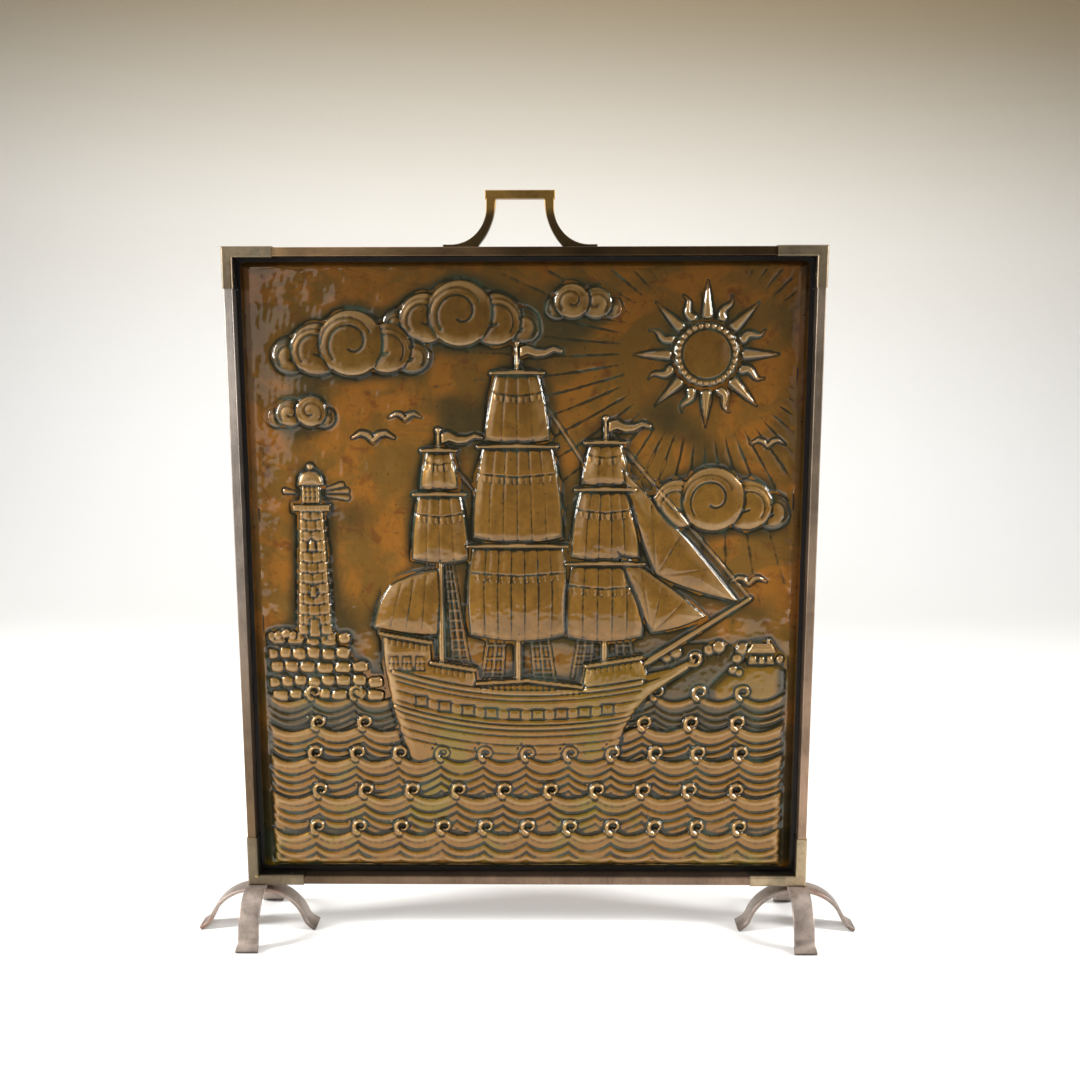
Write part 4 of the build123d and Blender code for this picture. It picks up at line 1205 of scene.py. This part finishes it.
def copper_quarter(name, points, normals, marks, side, end):
    """One closed quarter of the copper sheet: its front from a part of the grid, its back plain.

    Side is 1 to the right and -1 to the left, end is 1 for the upper quarters and -1 for the lower ones.
    """
    rows, columns = points.shape[:2]
    number = np.arange(rows * columns).reshape(rows, columns)
    squares = [number[:-1, :-1], number[:-1, 1:], number[1:, 1:], number[1:, :-1]]
    quads = np.stack(squares, axis=-1).reshape(-1, 4)

    # The back has three rows of three points, from the middle of the panel outwards.
    wall = 1.25 * COPPER_SHEET
    back_x = [0.0, side * (FIELD_HALF_WIDTH - wall), side * (BASE_HALF_WIDTH - wall)]
    back_z = [0.0, end * (FIELD_HALF_HEIGHT - wall), end * (BASE_HALF_HEIGHT - 1.7 * wall)]
    back = []
    for j in range(3):
        for i in range(3):
            depth = PANEL_BACK if 2 in (i, j) else PANEL_FRONT + COPPER_SHEET
            back.append((back_x[i], depth, PANEL_MIDDLE + back_z[j]))
    first = rows * columns
    inner = [[first + 3 * j + i for i in range(3)] for j in range(3)]

    # From here on, rows and columns also count from the middle of the panel outwards.
    outward = number[::end, ::side]
    middle_column, outer_column = list(outward[:, 0]), list(outward[:, -1])
    middle_row, outer_row = list(outward[0]), list(outward[-1])
    polygons = [
        middle_column + [inner[2][0], inner[1][0], inner[0][0]],
        [inner[0][0], inner[0][1], inner[0][2]] + middle_row[::-1],
        outer_column + outer_row[-2::-1] + inner[2] + [inner[1][2], inner[0][2]],
    ]
    for j in range(2):
        for i in range(2):
            polygons.append([inner[j][i], inner[j + 1][i], inner[j + 1][i + 1], inner[j][i + 1]])
    if side * end < 0:
        polygons = [polygon[::-1] for polygon in polygons]

    vertices = np.concatenate([points.reshape(-1, 3), np.array(back)]) * MM
    faces = quads.tolist() + [[int(n) for n in polygon] for polygon in polygons]
    quarter = mesh_object(name, vertices, faces)
    mesh = quarter.data
    for mark, values in marks.items():
        layer = mesh.attributes.new(mark, "FLOAT", "POINT")
        layer.data.foreach_set("value", np.append(values.ravel(), np.zeros(len(back))).astype(np.float32))
    corners = np.empty(len(mesh.loops), dtype=np.int32)
    mesh.loops.foreach_get("vertex_index", corners)
    front = 4 * len(quads)

    # The front takes the height field's own normals, and every other face is flat.
    loop_normals = np.zeros((len(mesh.loops), 3), dtype=np.float32)
    loop_normals[:front] = normals.reshape(-1, 3)[corners[:front]]
    flat_map = np.full((len(mesh.loops), 2), 0.985)
    flat_map[:front] = 0.01 + 0.95 * np.abs(vertices[corners[:front]][:, [0, 2]] - [0, PANEL_MIDDLE * MM]) / (
        np.array([BASE_HALF_WIDTH, BASE_HALF_HEIGHT]) * MM
    )
    for index, polygon in enumerate(mesh.polygons[len(quads):]):
        loops = slice(polygon.loop_start, polygon.loop_start + polygon.loop_total)
        loop_normals[loops] = polygon.normal
        turns = np.linspace(0, 2 * math.pi, polygon.loop_total, False)
        round_spot = [0.984 + 0.008 * np.cos(turns), (index + 1) / 9 + 0.04 * np.sin(turns)]
        flat_map[loops] = np.stack(round_spot, axis=-1)
    mesh.polygons.foreach_set("use_smooth", [True] * len(mesh.polygons))
    mesh.normals_split_custom_set(loop_normals)
    mesh.uv_layers.new(name="OFBake").data.foreach_set("uv", flat_map.ravel())
    return quarter


class FIREGUARD_OT_copper_panel(bpy.types.Operator):
    """Makes the embossed copper sheet with its sloping sides"""

    bl_idname = "fire_guard.copper_panel"
    bl_label = "Emboss the copper panel"

    def execute(self, context):
        sizes = context.scene.guard_sizes
        step = sizes.emboss_step / MM
        columns = np.linspace(-FIELD_HALF_WIDTH, FIELD_HALF_WIDTH, 2 * round(FIELD_HALF_WIDTH / step) + 1)
        rows = np.linspace(0, 2 * FIELD_HALF_HEIGHT, 2 * round(FIELD_HALF_HEIGHT / step) + 1)
        sheet = embossed_sheet(columns, rows)
        points, pad = panel_surface(sheet, sizes.edge_softness / MM)
        normals = surface_normals(points)
        marks = wear_marks(sheet.height, pad)
        middle_row, middle_column = points.shape[0] // 2, points.shape[1] // 2
        left, right = slice(0, middle_column + 1), slice(middle_column, None)
        lower, upper = slice(0, middle_row + 1), slice(middle_row, None)
        for side_name, side, across in (("left", -1, left), ("right", 1, right)):
            for end_name, end, upward in (("lower", -1, lower), ("upper", 1, upper)):
                part = (upward, across)
                part_marks = {mark: values[part] for mark, values in marks.items()}
                name = f"copper_{end_name}_{side_name}"
                quarter = copper_quarter(name, points[part], normals[part], part_marks, side, end)
                quarter.data.materials.append(bpy.data.materials["aged_copper"])
                finish_piece(quarter, "aged_copper", "relief_panel")
        return {"FINISHED"}


# Feet

def strap_line(reach, crest, flat, bend):
    """Upper line of half a strap: points along and up from its middle, each with its share of the toe.

    In millimetres. It runs flat over its seat, round one arc and, after a soft bend, down a straight toe.
    """
    toe_run, toe_drop = TOE_LENGTH * math.cos(TOE_SLOPE), TOE_LENGTH * math.sin(TOE_SLOPE)
    end = Vector((reach, TOE_THICKNESS * math.cos(TOE_SLOPE) - TOE_WEAR))
    kink = end + Vector((-toe_run, toe_drop))
    run, drop = kink.x - flat, crest - kink.y
    radius = (run**2 + drop**2) / (2 * drop)
    sweep = math.atan2(run, radius - drop)
    points = [(Vector((0, crest)), 0.0), (Vector((flat / 2, crest)), 0.0)]
    for turn in np.linspace(0, sweep - bend / radius, 22):
        spot = Vector((flat + radius * math.sin(turn), crest - radius + radius * math.cos(turn)))
        points.append((spot, 0.0))
    bend_start = points[-1][0]
    bend_end = kink.lerp(end, bend / TOE_LENGTH)
    for t in np.linspace(0, 1, 9)[1:]:
        points.append((bend_start.lerp(kink, t).lerp(kink.lerp(bend_end, t), t), t * bend / TOE_LENGTH))
    points.append((bend_end.lerp(end, 0.5), 0.5 + bend / TOE_LENGTH / 2))
    points.append((end, 1.0))
    return points


def strap_carrier(name, node, sizes):
    """Path of a strap: a line of points that know their place, sideways way, downward way and toe."""
    low, high = corners_of(node)
    flat = STRAP_FLATS[node.split("_foot_")[1]]
    lengthways = Vector((1, 0, 0)) if high.x - low.x > high.y - low.y else Vector((0, 1, 0))
    reach = (high - low).dot(lengthways) / 2 / MM
    half = strap_line(reach, high.z / MM, flat, sizes.toe_bend / MM)
    line = [(Vector((-point.x, point.y)), toe) for point, toe in half[:0:-1]] + half
    middle = Vector(((low.x + high.x) / 2, (low.y + high.y) / 2, 0))
    points = [middle + (lengthways * point.x + Vector((0, 0, point.y))) * MM for point, toe in line]
    carrier = mesh_object(name, points, [], [(n, n + 1) for n in range(len(points) - 1)])
    side = lengthways.cross(Vector((0, 0, 1)))
    down = []
    for n in range(len(points)):
        way = (points[min(n + 1, len(points) - 1)] - points[max(n - 1, 0)]).normalized()
        down.append(way.cross(side) * (1 if way.cross(side).z < 0 else -1))
    vectors = {"spot": points, "side": [side] * len(points), "down": down}
    for mark, values in vectors.items():
        add_mark(carrier, mark, values, "FLOAT_VECTOR")
    add_mark(carrier, "toe", [toe for point, toe in line])
    return carrier


def strap_tree(sizes, material):
    """Sweeps the strap's rounded section along its path: wider and thicker down the toes, flat underneath."""
    build = Build("foot_strap")
    width = build.size("Width", sizes.strap_width)
    thickness = build.size("Thickness", sizes.strap_thickness)
    edge = build.size("Edge radius", sizes.strap_edge)
    toe_width = build.size("Toe width", TOE_WIDTH * MM)
    toe_thickness = build.size("Toe thickness", TOE_THICKNESS * MM)
    path = build.node("GeometryNodeMeshToCurve", {}, {0: build.given})
    section = build.node("GeometryNodeCurvePrimitiveQuadrilateral", {}, {"Width": width, "Height": thickness})
    rounded = {"Curve": section, "Radius": edge, "Count": 3}
    section = build.node("GeometryNodeFilletCurve", {"mode": "POLY"}, rounded)
    across, up, _ = build.parts(build.node("GeometryNodeInputPosition", {}, {}))
    for name, value in (("across", across), ("below", thickness / 2 - up)):
        stored = {"Geometry": section, "Name": name, "Value": value}
        section = build.node("GeometryNodeStoreNamedAttribute", {"data_type": "FLOAT"}, stored)
    swept = {"Curve": path, "Profile Curve": section, "Fill Caps": True}
    strap = build.node("GeometryNodeCurveToMesh", {}, swept)
    toe = build.attribute("toe", "FLOAT")
    wider = 1 + toe * (toe_width / width - 1)
    thicker = 1 + toe * (toe_thickness / thickness - 1)
    sideways, downwards = (
        build.scaled(build.attribute(way, "FLOAT_VECTOR"), build.attribute(length, "FLOAT") * growth)
        for way, length, growth in (("side", "across", wider), ("down", "below", thicker))
    )
    place = build.vector_sum(build.attribute("spot", "FLOAT_VECTOR"), build.vector_sum(sideways, downwards))
    x, y, z = build.parts(place)
    on_floor = {"Geometry": strap, "Position": build.vector(x, y, z.at_least(0.0))}
    build.finish(build.node("GeometryNodeSetPosition", {}, on_floor), material)
    return build


class FIREGUARD_OT_feet(bpy.types.Operator):
    """Bends the two crossed straps of each foot"""

    bl_idname = "fire_guard.feet"
    bl_label = "Bend the feet"

    def execute(self, context):
        sizes = context.scene.guard_sizes
        build = strap_tree(sizes, bpy.data.materials["foot_bronze"])
        for foot in ("left", "right"):
            for strap in STRAP_FLATS:
                node = f"{foot}_foot_{strap}"
                piece = strap_carrier(f"{foot}_{strap}_bent", node, sizes)
                build.run(piece)
                finish_piece(piece, "foot_bronze", node)
        return {"FINISHED"}


# Backing board

class FIREGUARD_OT_backing(bpy.types.Operator):
    """Swells the backing board tight into the frame, so that no light shows round it"""

    bl_idname = "fire_guard.backing"
    bl_label = "Fit the backing board"

    def execute(self, context):
        swelling = context.scene.guard_sizes.board_swelling
        low, high = corners_of("backing_board")
        middle, half = (low + high) / 2, (high - low) / 2
        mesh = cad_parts["backing_board"].data.copy()
        mesh.name = "fitted_backing_board"
        for vertex in mesh.vertices:
            for axis in (0, 2):
                offset = vertex.co[axis] - middle[axis]
                if abs(offset) > half[axis] - BOARD_RIM * MM:
                    vertex.co[axis] += math.copysign(swelling, offset)
        fitted = bpy.data.objects.new(mesh.name, mesh)
        context.collection.objects.link(fitted)
        finish_piece(fitted, "backing_wood", "backing_board")
        return {"FINISHED"}


# Screws and seams

def screw_tree(name, sizes, radii, rise, length, material):
    """Slotted screws on points, each turned its own way: domed if the rise is positive, else flush."""
    build = Build(name)
    head_radius = build.size("Head radius", radii[0] * MM)
    shank_radius = build.size("Shank radius", radii[1] * MM)
    height = build.size("Head height", abs(rise) * MM)
    shank_length = build.size("Shank length", length)
    slot_width = build.size("Slot width", sizes.slot_width)
    slot_depth = build.size("Slot depth", sizes.slot_depth)
    if rise > 0:
        ball = build.squat_ball(32, 17, 1.0, head_radius, head_radius, height)
        across = head_radius * 3
        upper_half = build.lifted(build.box(build.vector(across, across, across)), across / 2)
        head = build.boolean("INTERSECT", {0: [ball, upper_half]})
        top = height
    else:
        cone = {"Vertices": 32, "Radius Top": head_radius, "Radius Bottom": shank_radius, "Depth": height}
        head = build.lifted(build.node("GeometryNodeMeshCone", {}, cone), -height)
        top = height * 0
    slot = build.box(build.vector(head_radius * 2.4, slot_width, slot_depth * 2))
    head = build.boolean("DIFFERENCE", {"Mesh 1": head, "Mesh 2": build.lifted(slot, top)})
    shank = {"Vertices": 16, "Radius": shank_radius * 0.98, "Depth": shank_length}
    shank = build.node("GeometryNodeMeshCylinder", {}, shank)
    screw = build.joined(head, build.lifted(shank, top - slot_depth * 1.1 - shank_length / 2))
    twist = build.node("FunctionNodeRandomValue", {"data_type": "FLOAT"}, {"Max": math.pi, "Seed": 3})
    turn = build.vector(-math.pi / 2, twist, 0.0)
    placed = {"Points": build.given, "Instance": screw, "Rotation": turn}
    build.finish(build.node("GeometryNodeInstanceOnPoints", {}, placed), material)
    return build


def clip_screw_places():
    """Two screws in each clip: one in the frame, one in the backing board."""
    stile_low, stile_high = node_box("right_stile")
    back = node_box("board_clips")[1].y
    bottom, top = stile_low.z, stile_high.z
    face = stile_high.x - stile_low.x
    places = []
    for hole in CLIP_HOLES:
        for side in (-1, 1):
            for level in (bottom + CLIP_FROM_CORNER, (bottom + top) / 2, top - CLIP_FROM_CORNER):
                places.append((side * (stile_low.x + hole), back, level))
        places.append((0.0, back, bottom + face - hole))
        places.append((0.0, back, top - face + hole))
    return np.array(places) * MM


def backing_screw_places():
    low, high = node_box("backing_screws")
    across = (low.x + BOARD_HEAD_RADIUS, high.x - BOARD_HEAD_RADIUS)
    levels = (low.z + BOARD_HEAD_RADIUS, (low.z + high.z) / 2, high.z - BOARD_HEAD_RADIUS)
    return np.array([(x, high.y, level) for x in across for level in levels]) * MM


class FIREGUARD_OT_screws(bpy.types.Operator):
    """Sets the slotted screws of the backing board and of its clips"""

    bl_idname = "fire_guard.screws"
    bl_label = "Set the screws"

    def execute(self, context):
        sizes = context.scene.guard_sizes
        clip_radii = (CLIP_HEAD_RADIUS, CLIP_SHANK_RADIUS)
        board_radii = (BOARD_HEAD_RADIUS, BOARD_SHANK_RADIUS)
        for node, slot, places, radii, rise in (
            ("clip_screws", "clip_steel", clip_screw_places(), clip_radii, CLIP_HEAD_HEIGHT),
            ("backing_screws", "screw_brass", backing_screw_places(), board_radii, -BOARD_HEAD_DEPTH),
        ):
            low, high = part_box(node)
            length = high[1] - low[1] - sizes.slot_depth * 1.1
            build = screw_tree(node + "_tree", sizes, radii, rise, length, bpy.data.materials[slot])
            piece = mesh_object(f"slotted_{node}", places, [])
            build.run(piece)
            finish_piece(piece, slot, node)
        return {"FINISHED"}


def seam_tree(sizes, material):
    """Runs an uneven bead of solder along a path."""
    build = Build("solder_seam")
    radius = build.size("Seam radius", sizes.seam_radius)
    corner = build.size("Corner radius", 1.2 * MM)
    path = build.node("GeometryNodeMeshToCurve", {}, {0: build.given})
    rounded = {"Curve": path, "Radius": corner, "Count": 4}
    path = build.node("GeometryNodeFilletCurve", {"mode": "POLY"}, rounded)
    even = {"Curve": path, "Length": 1.0 * MM}
    path = build.node("GeometryNodeResampleCurve", {"mode": "LENGTH"}, even)
    section = build.node("GeometryNodeCurvePrimitiveCircle", {}, {"Resolution": 8, "Radius": radius})
    uneven = 0.7 + 0.6 * build.noise(260.0, 2.0, 0.5)
    swept = {"Curve": path, "Profile Curve": section, "Scale": uneven, "Fill Caps": True}
    seam = build.node("GeometryNodeCurveToMesh", {}, swept)
    ball = build.squat_ball(16, 9, radius * 2.4, 1.2, 0.7, 1.0)
    drops = {"Points": build.given, "Selection": build.attribute("drop", "FLOAT"), "Instance": ball}
    drops = build.node("GeometryNodeInstanceOnPoints", {}, drops)
    build.finish(build.joined(seam, drops), material)
    return build


class FIREGUARD_OT_seams(bpy.types.Operator):
    """Lays the thin solder seams where the lower sleeves end on the stiles, and a drop in the left corner"""

    bl_idname = "fire_guard.seams"
    bl_label = "Lay the solder seams"

    def execute(self, context):
        sizes = context.scene.guard_sizes
        build = seam_tree(sizes, bpy.data.materials["pin_brass"])
        for side_name, side in (("left", -1), ("right", 1)):
            low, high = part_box(f"{side_name}_stile")
            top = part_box(f"corner_sleeve_bottom_{side_name}")[1][2]
            inner, outer = (high[0], low[0]) if side < 0 else (low[0], high[0])
            corners = [(inner, low[1]), (outer, low[1]), (outer, high[1]), (inner, high[1])]
            path = [(x, y, top) for x, y in corners]
            drops = [0, 0, 0, 0]
            if side < 0:
                rail_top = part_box("bottom_rail")[1][2]
                path.append((inner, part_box("corner_sleeve_bottom_left")[0][1], rail_top))
                drops.append(1)
            seam = mesh_object(f"sleeve_seam_{side_name}", path, [], [(0, 1), (1, 2), (2, 3)])
            add_mark(seam, "drop", drops)
            build.run(seam)
            finish_piece(seam, "pin_brass")
        return {"FINISHED"}


# Stage

# Lights: name, place, target, width and height in metres, power in watts
LIGHTS = (
    ("overhead", (0.0, 0.5, 3.0), (0, 0.9, 0), (3.0, 2.2), 53),
    ("wide_left", (-1.2, -1.45, 0.9), (0, 0, 0.4), (1.4, 1.4), 7.2),
    ("wide_right", (1.5, -1.4, 0.9), (0, 0, 0.4), (1.4, 1.4), 2.5),
    ("left", (-1.9, -0.45, 1.05), (0, 0, 0.4), (0.3, 0.85), 64),
    ("right", (1.9, -0.5, 1.05), (0, 0, 0.4), (0.3, 0.85), 52),
)
CAMERA_LENS = (40.0, 36.0)
CAMERA_PLACE = (28.5, -1248.2, 645.0)
# Pan, tilt and roll in degrees
CAMERA_TURNS = (0.6, 80.5, -0.1)
SWEEP_HALF_WIDTH = 3.5
SWEEP_FRONT = -1.1
SWEEP_BEND_START = 1.5
SWEEP_BEND_RADIUS = 1.2
SWEEP_TOP = 4.5


class FIREGUARD_OT_stage(bpy.types.Operator):
    """Sets the pale sweep, the soft lights and the camera"""

    bl_idname = "fire_guard.stage"
    bl_label = "Set the stage"

    def execute(self, context):
        self.sweep(context.scene.guard_colours.floor)
        self.lights(context)
        self.camera(context)
        return {"FINISHED"}

    def sweep(self, colour):
        """Floor that curves up into the backdrop, with painted shade that turns the backdrop beige and then
        brown towards its top, a little more to the right.
        """
        profile = [(SWEEP_FRONT, 0.0), (SWEEP_BEND_START, 0.0)]
        for index in range(1, 17):
            turn = math.radians(90 * index / 16)
            across = SWEEP_BEND_START + SWEEP_BEND_RADIUS * math.sin(turn)
            profile.append((across, SWEEP_BEND_RADIUS - SWEEP_BEND_RADIUS * math.cos(turn)))
        profile.append((SWEEP_BEND_START + SWEEP_BEND_RADIUS, SWEEP_TOP))
        vertices = [(x, y, z) for y, z in profile for x in (-SWEEP_HALF_WIDTH, SWEEP_HALF_WIDTH)]
        faces = [(2 * n, 2 * n + 1, 2 * n + 3, 2 * n + 2) for n in range(len(profile) - 1)]
        floor = mesh_object("floor_sweep", vertices, faces)
        smooth_by_angle(floor, 60)
        recipe = Recipe("pale_sweep")
        # Painted shade: the backdrop darkens towards its top, and a little towards the right.
        height = recipe.axis("Z") + recipe.axis("X") * 0.05
        cloth = recipe.noise(3.0, 2, 0.5) * 0.02
        tone = recipe.mix((height.ramp(0.18, 1.3) + cloth).clamped(), colour, (0.71, 0.68, 0.615))
        tone = recipe.mix(height.ramp(0.95, 1.85), tone, (0.27, 0.21, 0.122))
        floor.data.materials.append(recipe.surface(tone, 0.9, 0.0))
        return floor

    def lights(self, context):
        for name, place, target, size, power in LIGHTS:
            light = bpy.data.lights.new(f"light_{name}", "AREA")
            light.shape = "RECTANGLE"
            light.size, light.size_y = size
            light.energy = power
            holder = bpy.data.objects.new(light.name, light)
            way = Vector(target) - Vector(place)
            turned = way.to_track_quat("-Z", "Y").to_matrix().to_4x4()
            holder.matrix_world = Matrix.Translation(place) @ turned
            context.collection.objects.link(holder)
        world = bpy.data.worlds.new("studio")
        world.use_nodes = True
        bench = Bench(world.node_tree)
        bench.tree.nodes.clear()
        dim = bench.node("ShaderNodeBackground", {}, {"Color": (1.0, 0.96, 0.9, 1.0), "Strength": 0.1})
        pale = bench.node("ShaderNodeBackground", {}, {"Color": (0.86, 0.84, 0.80, 1.0)})
        seen = bench.node("ShaderNodeLightPath", {}, {}, "Is Camera Ray")
        either = bench.node("ShaderNodeMixShader", {}, {0: seen, 1: dim, 2: pale})
        bench.node("ShaderNodeOutputWorld", {}, {"Surface": either})
        context.scene.world = world

    def camera(self, context):
        data = bpy.data.cameras.new("camera")
        data.lens, data.sensor_width = CAMERA_LENS
        camera = bpy.data.objects.new("camera", data)
        pan, tilt, roll = (
            Matrix.Rotation(math.radians(degrees), 4, axis) for degrees, axis in zip(CAMERA_TURNS, "ZXZ")
        )
        camera.matrix_world = Matrix.Translation(Vector(CAMERA_PLACE) * MM) @ pan @ tilt @ roll
        context.collection.objects.link(camera)
        context.scene.camera = camera
        context.scene.view_settings.view_transform = "Standard"


class FIREGUARD_PT_sidebar(bpy.types.Panel):
    """Lists the steps and the sizes and colours they use"""

    bl_idname = "FIREGUARD_PT_sidebar"
    bl_label = "Fire Guard"
    bl_space_type = "VIEW_3D"
    bl_region_type = "UI"
    bl_category = "Fire Guard"

    def draw(self, context):
        for settings in (context.scene.guard_sizes, context.scene.guard_colours):
            box = self.layout.box()
            for name in settings.__annotations__:
                box.prop(settings, name)
        for operator in OPERATORS:
            self.layout.operator(operator.bl_idname)


OPERATORS = (
    FIREGUARD_OT_finishes,
    FIREGUARD_OT_copper_panel,
    FIREGUARD_OT_feet,
    FIREGUARD_OT_backing,
    FIREGUARD_OT_screws,
    FIREGUARD_OT_seams,
    FIREGUARD_OT_stage,
)
CLASSES = (GuardSizes, GuardColours, *OPERATORS, FIREGUARD_PT_sidebar)


def register():
    for item in CLASSES:
        bpy.utils.register_class(item)
    bpy.types.Scene.guard_sizes = bpy.props.PointerProperty(type=GuardSizes)
    bpy.types.Scene.guard_colours = bpy.props.PointerProperty(type=GuardColours)


def unregister():
    del bpy.types.Scene.guard_colours
    del bpy.types.Scene.guard_sizes
    for item in reversed(CLASSES):
        bpy.utils.unregister_class(item)


def main():
    register()
    bpy.ops.fire_guard.finishes()
    bpy.ops.fire_guard.copper_panel()
    bpy.ops.fire_guard.feet()
    bpy.ops.fire_guard.backing()
    bpy.ops.fire_guard.screws()
    bpy.ops.fire_guard.seams()
    bpy.ops.fire_guard.stage()


if __name__ == "__main__":
    main()
